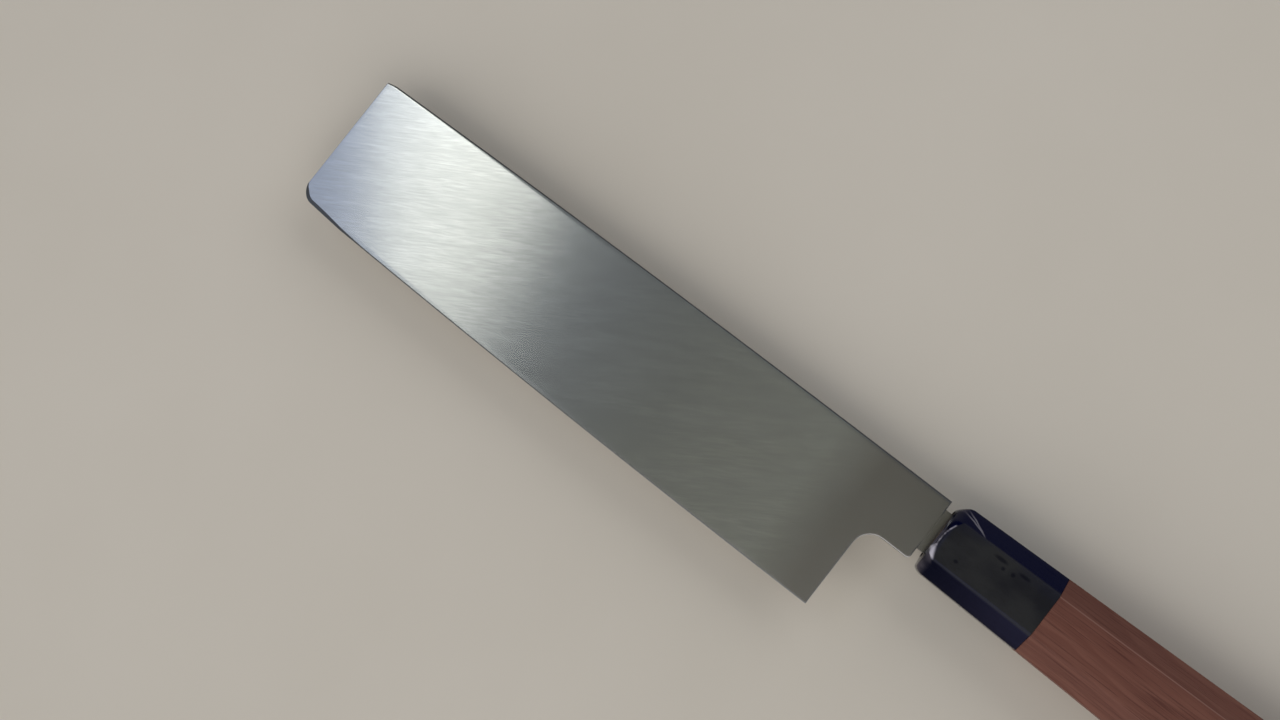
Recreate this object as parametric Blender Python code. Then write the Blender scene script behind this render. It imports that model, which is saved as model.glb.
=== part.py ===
"""A right-handed, square-tipped usuba: a kitchen knife for vegetables, ground on one side only.

The knife lies on its side as on a bench, hollow face (ura) up and ground face (omote) down. +X runs
along the knife from the tip to the butt, +Y from the cutting edge to the spine, +Z out of the ura. The
origin is under the middle of the whole knife, at the level of the butt's lower facet.

Sizes are in metres. Stations are measured along the knife from the front face of the ferrule, positive
toward the butt. Levels are measured across the knife from the spine's end at the shoulder (machi),
positive beyond the spine.
"""

import math
from collections import namedtuple

import bmesh
import bpy

# Blade outline
EDGE_LENGTH = 0.180
HEEL_LEVEL = -0.0437
TIP_EDGE_LEVEL = -0.0427
TIP_SPINE_LEVEL = -0.0013
SPINE_CROWN = 0.00074
EDGE_BELLY = 0.00081
TIP_CORNER_RADIUS = 0.0048
# Edge and spine turn in toward each other just before the tip, over these lengths and at these slopes
EDGE_TURN_LENGTH = 0.0158
EDGE_TURN_SLOPE = 0.045
SPINE_TURN_LENGTH = 0.0026
SPINE_TURN_SLOPE = 0.20

# Neck, shoulder and tang
NECK_LENGTH = 0.0135
NECK_LEVEL = -0.0184
CHIN_RADIUS = 0.0055
NECK_CORNER_RADIUS = 0.0010
SHOULDER_GAP = 0.0020
UPPER_SHOULDER_STEP = 0.0026
TANG_WIDTH = 0.0123
TANG_LENGTH = 0.095
TANG_END_WIDTH = 0.0065
TANG_END_POINT = 0.0040

# Blade section
SHOULDER_THICKNESS = 0.0034
TIP_THICKNESS = 0.0026
TANG_END_THICKNESS = 0.0022
EDGE_LAND = 0.00014
BEVEL_ANGLE = math.radians(11.5)
SPINE_CHAMFER = 0.0005
HARD_STEEL_THICKNESS = 0.0010

# Hollow of the ura
HOLLOW_DEPTH = 0.00025
HOLLOW_EDGE_RIM = 0.0012
HOLLOW_SPINE_RIM = 0.0011
HOLLOW_TIP_RIM = 0.0010
HOLLOW_HEEL_RIM = 0.0030
HOLLOW_TIP_RUN_OUT = 0.040
HOLLOW_HEEL_RUN_OUT = 0.014
HOLLOW_LIP = 0.00003

# Handle
HANDLE_LEVEL = -0.0091
FERRULE_LENGTH = 0.0318
HANDLE_LENGTH = 0.130
FERRULE_ROUND_LENGTH = 0.0030
FERRULE_ROUND_DEPTH = 0.0012
FERRULE_CHAMFER_DEPTH = 0.0021
BUTT_ROUND = 0.0014
FACET_EDGE_BREAK = 0.00035

# Octagonal sections of the handle: width across the blade's plane, thickness, width of the broad facets
# (up and down) and width of the narrow facets (spine side and edge side)
FRONT_WIDTH = 0.0210
FRONT_THICKNESS = 0.0184
FRONT_BROAD_FACET = 0.0114
FRONT_NARROW_FACET = 0.0084
JOINT_WIDTH = 0.0223
JOINT_THICKNESS = 0.0190
JOINT_BROAD_FACET = 0.0116
JOINT_NARROW_FACET = 0.0088
BUTT_WIDTH = 0.0265
BUTT_THICKNESS = 0.0220
BUTT_BROAD_FACET = 0.0137
BUTT_NARROW_FACET = 0.0100

# Dowel that joins ferrule and handle, and the tang's slot through it
DOWEL_DIAMETER = 0.0142
DOWEL_RECESS = 0.0002
DOWEL_LENGTH = 0.058
CLEARANCE = 0.0003
SLOT_END_ROOM = 0.0010

# Working values of the modelling
OVERLAP = 0.004
BLADE_STATIONS = 30
ARC_STEPS = 8
ROUND_STEPS = 4
BORE_SIDES = 40
HOLLOW_CELLS_ALONG = 30
HOLLOW_CELLS_ACROSS = 10

# Places that follow from the sizes
SHOULDER_STATION = -SHOULDER_GAP
HEEL_STATION = SHOULDER_STATION - NECK_LENGTH
TIP_STATION = HEEL_STATION - EDGE_LENGTH
TANG_END_STATION = SHOULDER_STATION + TANG_LENGTH
TANG_UPPER_LEVEL = -UPPER_SHOULDER_STEP
TANG_LOWER_LEVEL = TANG_UPPER_LEVEL - TANG_WIDTH
TANG_MIDDLE_LEVEL = (TANG_UPPER_LEVEL + TANG_LOWER_LEVEL) / 2

Octagon = namedtuple("Octagon", "width thickness broad_facet narrow_facet")
FRONT_SECTION = Octagon(FRONT_WIDTH, FRONT_THICKNESS, FRONT_BROAD_FACET, FRONT_NARROW_FACET)
JOINT_SECTION = Octagon(JOINT_WIDTH, JOINT_THICKNESS, JOINT_BROAD_FACET, JOINT_NARROW_FACET)
BUTT_SECTION = Octagon(BUTT_WIDTH, BUTT_THICKNESS, BUTT_BROAD_FACET, BUTT_NARROW_FACET)

Finish = namedtuple("Finish", "color metallic roughness")
HARD_STEEL = Finish((0.62, 0.63, 0.64), 1.0, 0.28)
SOFT_STEEL = Finish((0.52, 0.53, 0.54), 1.0, 0.38)
HORN = Finish((0.012, 0.012, 0.014), 0.0, 0.22)
PALE_WOOD = Finish((0.58, 0.44, 0.27), 0.0, 0.65)
RED_WOOD = Finish((0.13, 0.05, 0.03), 0.0, 0.45)


def mix(start, end, share):
    """The value a share of the way from start to end."""
    return start + (end - start) * share


def crowned(share, start, end, crown):
    """A level on a shallow arc from start to end that bulges by crown halfway."""
    return mix(start, end, share) + crown * (1 - (2 * share - 1) ** 2)


def turned_in(station, length, slope):
    """How far an outline has turned in at a station: a slope over its last length before the tip."""
    return slope * max(TIP_STATION + length - station, 0.0)


def spine_level(station):
    """Level of the spine's back at a station; it runs on level past the shoulder."""
    share = (SHOULDER_STATION - station) / (SHOULDER_STATION - TIP_STATION)
    level = crowned(max(share, 0.0), 0.0, TIP_SPINE_LEVEL, SPINE_CROWN)
    return level - turned_in(station, SPINE_TURN_LENGTH, SPINE_TURN_SLOPE)


def edge_level(station):
    """Level of the cutting edge at a station."""
    share = (HEEL_STATION - station) / EDGE_LENGTH
    level = crowned(share, HEEL_LEVEL, TIP_EDGE_LEVEL, -EDGE_BELLY)
    return level + turned_in(station, EDGE_TURN_LENGTH, EDGE_TURN_SLOPE)


def blade_thickness(station):
    """Thickness at a station: it thins from the shoulder to the tip, and along the tang to its end."""
    if station < SHOULDER_STATION:
        share = (SHOULDER_STATION - station) / (SHOULDER_STATION - TIP_STATION)
        return mix(SHOULDER_THICKNESS, TIP_THICKNESS, share)
    share = (station - SHOULDER_STATION) / TANG_LENGTH
    return mix(SHOULDER_THICKNESS, TANG_END_THICKNESS, share)


def lowest_edge_level():
    """Level of the cutting edge's deepest point, which bounds the knife on that side."""
    return min(edge_level(mix(HEEL_STATION, TIP_STATION, step / 200)) for step in range(201))


def section_at(station):
    """The handle's section at a station: the ferrule's taper, then the wood's own."""
    if station <= FERRULE_LENGTH:
        share = station / FERRULE_LENGTH
        return Octagon(*(mix(a, b, share) for a, b in zip(FRONT_SECTION, JOINT_SECTION)))
    share = (station - FERRULE_LENGTH) / (HANDLE_LENGTH - FERRULE_LENGTH)
    return Octagon(*(mix(a, b, share) for a, b in zip(JOINT_SECTION, BUTT_SECTION)))


# The knife's frame: the handle is widest where the rounding of its butt begins
WIDEST_SECTION = section_at(HANDLE_LENGTH - BUTT_ROUND)
X_OF_STATION_0 = -(TIP_STATION + HANDLE_LENGTH) / 2
Y_OF_LEVEL_0 = -(lowest_edge_level() + HANDLE_LEVEL + WIDEST_SECTION.width / 2) / 2
HANDLE_Z = WIDEST_SECTION.thickness / 2
URA_Z = HANDLE_Z + SHOULDER_THICKNESS / 2
WELD_Z = URA_Z - HARD_STEEL_THICKNESS


def place(station, level, z):
    """World point of a station and a level at height z."""
    return (X_OF_STATION_0 + station, Y_OF_LEVEL_0 + level, z)


def arc(centre, radius, start_degrees, end_degrees, steps=ARC_STEPS):
    """Points on an arc in the plane of station and level."""
    angles = [math.radians(mix(start_degrees, end_degrees, k / steps)) for k in range(steps + 1)]
    return [(centre[0] + radius * math.cos(a), centre[1] + radius * math.sin(a)) for a in angles]


def material(name, finish):
    """A Principled material with one colour, for telling the pieces apart."""
    made = bpy.data.materials.new(name)
    made.use_nodes = True
    shader = made.node_tree.nodes["Principled BSDF"]
    shader.inputs["Base Color"].default_value = (*finish.color, 1.0)
    shader.inputs["Metallic"].default_value = finish.metallic
    shader.inputs["Roughness"].default_value = finish.roughness
    return made


def add_object(name, mesh):
    """Links a mesh into the scene under a name."""
    made = bpy.data.objects.new(name, mesh)
    bpy.context.scene.collection.objects.link(made)
    return made


def finished_mesh(name, solid):
    """Writes a bmesh out as a mesh with its faces turned outward."""
    bmesh.ops.recalc_face_normals(solid, faces=solid.faces)
    mesh = bpy.data.meshes.new(name)
    solid.to_mesh(mesh)
    solid.free()
    return mesh


def loft(name, rings):
    """A closed solid through rings of points that have equal counts, capped at both ends."""
    solid = bmesh.new()
    rows = [[solid.verts.new(point) for point in ring] for ring in rings]
    count = len(rows[0])
    for row, following in zip(rows, rows[1:]):
        for k in range(count):
            after = (k + 1) % count
            solid.faces.new((row[k], row[after], following[after], following[k]))
    solid.faces.new(rows[0])
    solid.faces.new(rows[-1])
    return finished_mesh(name, solid)


def prism(name, outline, bottom, top):
    """An outline of (station, level) points extruded from height bottom to height top."""
    solid = bmesh.new()
    face = solid.faces.new([solid.verts.new(place(*point, bottom)) for point in outline])
    extruded = bmesh.ops.extrude_face_region(solid, geom=[face])
    risen = [item for item in extruded["geom"] if isinstance(item, bmesh.types.BMVert)]
    bmesh.ops.translate(solid, verts=risen, vec=(0.0, 0.0, top - bottom))
    return finished_mesh(name, solid)


def cutter(name, mesh):
    """A hidden helper that shapes other pieces."""
    made = add_object(name, mesh)
    made.hide_render = True
    made.display_type = "WIRE"
    return made


def shape_with(piece, tool, operation):
    """Adds a Boolean to a piece."""
    modifier = piece.modifiers.new(tool.name, "BOOLEAN")
    modifier.operation = operation
    modifier.solver = "EXACT"
    modifier.object = tool


def billet_section(station):
    """Section of the ground billet: edge land, bevel, flat, chamfered spine and ura."""
    edge, spine = edge_level(station), spine_level(station)
    flat_z = URA_Z - blade_thickness(station)
    land_z = URA_Z - EDGE_LAND
    ridge = edge + (land_z - flat_z) / math.tan(BEVEL_ANGLE)
    profile = (
        (edge, URA_Z),
        (edge, land_z),
        (ridge, flat_z),
        (spine - SPINE_CHAMFER, flat_z),
        (spine, flat_z + SPINE_CHAMFER),
        (spine, URA_Z - SPINE_CHAMFER),
        (spine - SPINE_CHAMFER, URA_Z),
    )
    return [place(station, level, z) for level, z in profile]


def billet_mesh(name):
    """The forged and ground bar, before its outline is cut: longer than the blade at both ends."""
    first = TIP_STATION - OVERLAP
    blade = [mix(first, SHOULDER_STATION, k / BLADE_STATIONS) for k in range(BLADE_STATIONS + 1)]
    stations = [*blade, TANG_END_STATION + OVERLAP]
    return loft(name, [billet_section(station) for station in stations])


def tip_corner():
    """The rounded corner between the front and the edge, tangent to both, front side first."""
    slope = math.atan((edge_level(TIP_STATION) - edge_level(TIP_STATION + 2 * TIP_CORNER_RADIUS))
                      / (2 * TIP_CORNER_RADIUS))
    touch = TIP_STATION + TIP_CORNER_RADIUS * (1 - math.sin(slope))
    centre = (TIP_STATION + TIP_CORNER_RADIUS,
              edge_level(touch) + TIP_CORNER_RADIUS * math.cos(slope))
    points = arc(centre, TIP_CORNER_RADIUS, 180, 270 - math.degrees(slope))
    beyond = (points[-1][0] + OVERLAP * math.cos(slope), points[-1][1] - OVERLAP * math.sin(slope))
    return [*points, (beyond[0], points[-1][1] - OVERLAP * math.sin(slope))]


def outline_points():
    """Outline of blade, neck and tang. Spine and edge run free: the billet's own surfaces end them."""
    below = HEEL_LEVEL - EDGE_BELLY - OVERLAP
    above = SPINE_CROWN + OVERLAP
    corner = tip_corner()
    chin = arc((HEEL_STATION + CHIN_RADIUS, NECK_LEVEL - CHIN_RADIUS), CHIN_RADIUS, 180, 90)
    neck_corner = arc((SHOULDER_STATION - NECK_CORNER_RADIUS, NECK_LEVEL + NECK_CORNER_RADIUS),
                      NECK_CORNER_RADIUS, 270, 360, ROUND_STEPS)
    end = TANG_END_WIDTH / 2
    return [
        (TIP_STATION, above),
        *corner,
        (corner[-1][0], below),
        (HEEL_STATION, below),
        *chin,
        *neck_corner,
        (SHOULDER_STATION, TANG_LOWER_LEVEL),
        (TANG_END_STATION - TANG_END_POINT, TANG_MIDDLE_LEVEL - end),
        (TANG_END_STATION, TANG_MIDDLE_LEVEL - end / 2),
        (TANG_END_STATION, TANG_MIDDLE_LEVEL + end / 2),
        (TANG_END_STATION - TANG_END_POINT, TANG_MIDDLE_LEVEL + end),
        (SHOULDER_STATION, TANG_UPPER_LEVEL),
        (SHOULDER_STATION, above),
    ]


def weld_cutter():
    """The space of the hard steel: everything above the weld, from beyond the tip to the shoulder."""
    below = HEEL_LEVEL - EDGE_BELLY - OVERLAP
    above = SPINE_CROWN + OVERLAP
    first = TIP_STATION - 2 * OVERLAP
    outline = [(first, below), (SHOULDER_STATION, below), (SHOULDER_STATION, above), (first, above)]
    return cutter("weld_cutter", prism("weld_cutter", outline, WELD_Z, URA_Z + OVERLAP))


def run_out(distance, length):
    """How full the hollow is at a distance from one end, from 0 there to 1 past the run-out's length."""
    share = min(distance / length, 1.0)
    return share * share * (3 - 2 * share)


def hollow_cutter():
    """The grinding wheel's hollow: a shallow trough inside the rims that fades out at tip and heel."""
    first = TIP_STATION + HOLLOW_TIP_RIM
    last = HEEL_STATION - HOLLOW_HEEL_RIM
    solid = bmesh.new()
    rows = []
    for i in range(HOLLOW_CELLS_ALONG + 1):
        station = mix(first, last, i / HOLLOW_CELLS_ALONG)
        fullness = min(run_out(station - first, HOLLOW_TIP_RUN_OUT),
                       run_out(last - station, HOLLOW_HEEL_RUN_OUT))
        low = edge_level(station) + HOLLOW_EDGE_RIM
        high = spine_level(station) - HOLLOW_SPINE_RIM
        row = []
        for j in range(HOLLOW_CELLS_ACROSS + 1):
            across = j / HOLLOW_CELLS_ACROSS
            depth = (HOLLOW_DEPTH + HOLLOW_LIP) * fullness * (1 - (2 * across - 1) ** 2)
            row.append(solid.verts.new(place(station, mix(low, high, across), URA_Z + HOLLOW_LIP - depth)))
        rows.append(row)
    trough = [
        solid.faces.new((row[j], row[j + 1], following[j + 1], following[j]))
        for row, following in zip(rows, rows[1:])
        for j in range(HOLLOW_CELLS_ACROSS)
    ]
    lid = bmesh.ops.extrude_face_region(solid, geom=trough, use_keep_orig=True)
    for item in lid["geom"]:
        if isinstance(item, bmesh.types.BMVert):
            item.co.z = URA_Z + OVERLAP
    return cutter("hollow_cutter", finished_mesh("hollow_cutter", solid))


def octagon_ring(station, section, inset=0.0, spine_inset=0.0):
    """Ring of an octagonal handle with its eight long edges broken, shrunk inward by inset, and by
    spine_inset on the spine side."""
    width, thickness = section.width / 2, section.thickness / 2
    broad, narrow = section.broad_facet / 2, section.narrow_facet / 2
    corners = [
        (broad, thickness), (width, narrow), (width, -narrow), (broad, -thickness),
        (-broad, -thickness), (-width, -narrow), (-width, narrow), (-broad, thickness),
    ]
    ring = []
    for k, corner in enumerate(corners):
        for neighbour in (corners[k - 1], corners[(k + 1) % len(corners)]):
            share = FACET_EDGE_BREAK / math.dist(corner, neighbour)
            ring.append((mix(corner[0], neighbour[0], share), mix(corner[1], neighbour[1], share)))
    shrunk = []
    for level, z in ring:
        side_inset = spine_inset if level > 0 else inset
        shrunk.append(place(station, HANDLE_LEVEL + level * (1 - side_inset / width),
                            HANDLE_Z + z * (1 - inset / thickness)))
    return shrunk


def rounded_end(station, inward, length, depth, chamfer_depth=0.0):
    """Rings that round an end over, from the end face inward; inward is +1 toward the butt. On the
    spine side a chamfer may go deeper than the rounding."""
    rings = []
    for step in range(ROUND_STEPS + 1):
        turn = math.radians(90) * step / ROUND_STEPS
        place_along = station + inward * length * (1 - math.cos(turn))
        inset = depth * (1 - math.sin(turn))
        spine_inset = max(inset, chamfer_depth * math.cos(turn))
        rings.append(octagon_ring(place_along, section_at(place_along), inset, spine_inset))
    return rings


def bore_mesh(name, first, last, diameter):
    """A round bar on the tang's middle line, which the bores and the dowel share."""
    rings = []
    for station in (first, last):
        turns = [math.tau * k / BORE_SIDES for k in range(BORE_SIDES)]
        rings.append([place(station, TANG_MIDDLE_LEVEL + diameter / 2 * math.cos(turn),
                            HANDLE_Z + diameter / 2 * math.sin(turn)) for turn in turns])
    return loft(name, rings)


def slot_ring(station):
    """Section of the tang's slot: the tang at this station and a clearance all round."""
    share = (station - SHOULDER_STATION) / (TANG_LENGTH - TANG_END_POINT)
    half = mix(TANG_WIDTH, TANG_END_WIDTH, share) / 2 + CLEARANCE
    top = URA_Z + CLEARANCE
    bottom = URA_Z - blade_thickness(station) - CLEARANCE
    corners = ((-half, bottom), (half, bottom), (half, top), (-half, top))
    return [place(station, TANG_MIDDLE_LEVEL + level, z) for level, z in corners]


def slot_cutter():
    """The slot burnt for the tang, from before the ferrule's face to just past the tang's end."""
    stations = (SHOULDER_STATION, TANG_END_STATION + SLOT_END_ROOM)
    return cutter("slot_cutter", loft("slot_cutter", [slot_ring(station) for station in stations]))


def smooth_round(mesh):
    """Shades a turned piece smooth and keeps its rims sharp."""
    mesh.shade_smooth()
    mesh.set_sharp_from_angle(angle=math.radians(35))


def make_hard_steel(outline, weld, hollow):
    """hagane: the thin hard layer that is the whole ura and carries the cutting edge."""
    piece = add_object("hagane", billet_mesh("hagane"))
    shape_with(piece, outline, "INTERSECT")
    shape_with(piece, weld, "INTERSECT")
    shape_with(piece, hollow, "DIFFERENCE")
    piece.data.materials.append(material("hard_steel", HARD_STEEL))


def make_soft_steel(outline, weld):
    """jigane: the soft body under the weld, with bevel, flat, neck and tang."""
    piece = add_object("jigane", billet_mesh("jigane"))
    shape_with(piece, outline, "INTERSECT")
    shape_with(piece, weld, "DIFFERENCE")
    piece.data.materials.append(material("soft_steel", SOFT_STEEL))


def make_ferrule(bore):
    """ferrule: the horn collar, bored through, its front softly rounded and worn down to the spine side."""
    rings = rounded_end(0.0, 1, FERRULE_ROUND_LENGTH, FERRULE_ROUND_DEPTH, FERRULE_CHAMFER_DEPTH)
    rings.append(octagon_ring(FERRULE_LENGTH, JOINT_SECTION))
    piece = add_object("ferrule", loft("ferrule", rings))
    shape_with(piece, bore, "DIFFERENCE")
    piece.data.materials.append(material("horn", HORN))


def make_handle_body(bore, slot):
    """handle_body: the octagonal grip, blind-bored for the dowel and slotted for the tang's end."""
    rings = [octagon_ring(FERRULE_LENGTH, JOINT_SECTION)]
    rings.extend(reversed(rounded_end(HANDLE_LENGTH, -1, BUTT_ROUND, BUTT_ROUND)))
    piece = add_object("handle_body", loft("handle_body", rings))
    shape_with(piece, bore, "DIFFERENCE")
    shape_with(piece, slot, "DIFFERENCE")
    piece.data.materials.append(material("red_wood", RED_WOOD))


def make_core_dowel(slot):
    """core_dowel: the pale wooden dowel that joins ferrule and grip and grips the tang."""
    mesh = bore_mesh("core_dowel", DOWEL_RECESS, DOWEL_RECESS + DOWEL_LENGTH, DOWEL_DIAMETER)
    smooth_round(mesh)
    piece = add_object("core_dowel", mesh)
    shape_with(piece, slot, "DIFFERENCE")
    piece.data.materials.append(material("pale_wood", PALE_WOOD))


def main():
    """Clears the scene and models the knife."""
    for old in list(bpy.data.objects):
        bpy.data.objects.remove(old, do_unlink=True)
    outline = cutter("outline_cutter", prism("outline_cutter", outline_points(),
                                             URA_Z - SHOULDER_THICKNESS - OVERLAP, URA_Z + 2 * OVERLAP))
    weld = weld_cutter()
    hollow = hollow_cutter()
    slot = slot_cutter()
    bore_end = DOWEL_RECESS + DOWEL_LENGTH + CLEARANCE
    bore = cutter("bore_cutter", bore_mesh("bore_cutter", -OVERLAP, bore_end, DOWEL_DIAMETER + 2 * CLEARANCE))
    make_hard_steel(outline, weld, hollow)
    make_soft_steel(outline, weld)
    make_ferrule(bore)
    make_handle_body(bore, slot)
    make_core_dowel(slot)


main()
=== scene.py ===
"""The finish of a right-handed usuba: laminated steel blade, black horn ferrule, octagonal wooden grip.

The knife lies on its side, hollow face (ura) up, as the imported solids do. +X runs from the tip to the
butt, +Y from the cutting edge to the spine. Sizes are in metres. Stations are measured along the knife
from the ferrule's front face, positive toward the butt. Levels are measured across it from the spine's
end at the shoulder, positive beyond the spine.
"""

import logging
import math
from collections.abc import Callable
from dataclasses import dataclass, field, replace
from enum import Enum
from functools import cache, reduce

import bmesh
import bpy
import numpy as np
from mathutils import Matrix, Vector


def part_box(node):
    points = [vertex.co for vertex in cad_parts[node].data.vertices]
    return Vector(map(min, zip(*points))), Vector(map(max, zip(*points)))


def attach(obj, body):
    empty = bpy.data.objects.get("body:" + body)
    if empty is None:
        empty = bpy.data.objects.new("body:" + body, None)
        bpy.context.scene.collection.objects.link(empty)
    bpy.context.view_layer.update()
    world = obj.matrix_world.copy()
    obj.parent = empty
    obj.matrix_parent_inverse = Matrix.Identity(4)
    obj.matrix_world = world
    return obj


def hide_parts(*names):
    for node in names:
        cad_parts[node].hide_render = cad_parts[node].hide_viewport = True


LOG = logging.getLogger("usuba")

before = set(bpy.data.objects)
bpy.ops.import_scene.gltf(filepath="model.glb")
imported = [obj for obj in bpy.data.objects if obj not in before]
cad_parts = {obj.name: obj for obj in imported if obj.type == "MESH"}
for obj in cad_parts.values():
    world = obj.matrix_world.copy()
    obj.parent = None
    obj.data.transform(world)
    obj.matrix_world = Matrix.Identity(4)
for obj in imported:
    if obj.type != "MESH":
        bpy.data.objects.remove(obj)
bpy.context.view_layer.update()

Point = tuple[float, float]
Colour = tuple[float, float, float]
Lines = list[list[int]]
Vertices = list[bmesh.types.BMVert]
Socket = bpy.types.NodeSocket

QUARTER_TURN = math.radians(90)
CRISP_ANGLE = math.radians(36)
NEARLY_ZERO = 1e-6
METRE = Vector((1.0, 1.0, 1.0))
NOISE_MIDDLE: Point = (0.3, 0.7)
POLISH_MAP = "polish"


class Slot(Enum):
    """The record's material slots."""

    HARD_STEEL = "hard_steel"
    SOFT_STEEL = "soft_steel"
    HORN = "horn"
    RED_WOOD = "red_wood"
    PALE_WOOD = "pale_wood"


class Operation(Enum):
    """Sums that a Math node can do here."""

    ADD = "ADD"
    SUBTRACT = "SUBTRACT"
    MULTIPLY = "MULTIPLY"
    DIVIDE = "DIVIDE"
    MAXIMUM = "MAXIMUM"
    ABSOLUTE = "ABSOLUTE"
    FRACTION = "FRACT"


def mix(start: float, end: float, share: float) -> float:
    """The value a share of the way from start to end."""
    return start + (end - start) * share


def ease(share: float) -> float:
    """A share from 0 to 1 that starts and ends softly."""
    held = min(max(share, 0.0), 1.0)
    return held * held * (3 - 2 * held)


def steps(start: float, end: float, count: int) -> list[float]:
    """Evenly spaced values from start to end, both included, in count steps."""
    return [mix(start, end, k / count) for k in range(count + 1)]


def shares(count: int) -> list[float]:
    """Evenly spaced shares from 0 to 1, both included, in count steps."""
    return steps(0.0, 1.0, count)


def arch(share: float) -> float:
    """A parabola over the shares from 0 to 1: nothing at both ends and 1 halfway."""
    return 1 - (2 * share - 1) ** 2


def cell(length: float, width: float) -> Vector:
    """Size of a grain that is as deep as it is wide."""
    return Vector((length, width, width))


@dataclass(frozen=True)
class KnifePlace:
    """Where the knife's own measures lie in the frame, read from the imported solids.

    Attributes:
        station_0: X of the ferrule's front face.
        level_0: Y of the spine's end at the shoulder.
        handle_z: Height of the handle's axis.
        ura_z: Height of the flat rims of the hollow face.
    """

    station_0: float
    level_0: float
    handle_z: float
    ura_z: float

    @classmethod
    def from_frame(cls, handle_level: float) -> "KnifePlace":
        """Reads the place from the boxes of the ferrule and the hard steel.

        Args:
            handle_level: Level of the handle's axis.

        Returns:
            The place of the knife in the frame.
        """
        low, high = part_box("ferrule")
        steel_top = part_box("hagane")[1].z
        return cls(low.x, (low.y + high.y) / 2 - handle_level, (low.z + high.z) / 2, steel_top)

    def point(self, station: float, level: float, z: float) -> Vector:
        """World point of a station and a level at height z."""
        return Vector((self.station_0 + station, self.level_0 + level, z))


HANDLE_LEVEL = -0.0091
PLACE = KnifePlace.from_frame(HANDLE_LEVEL)


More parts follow.
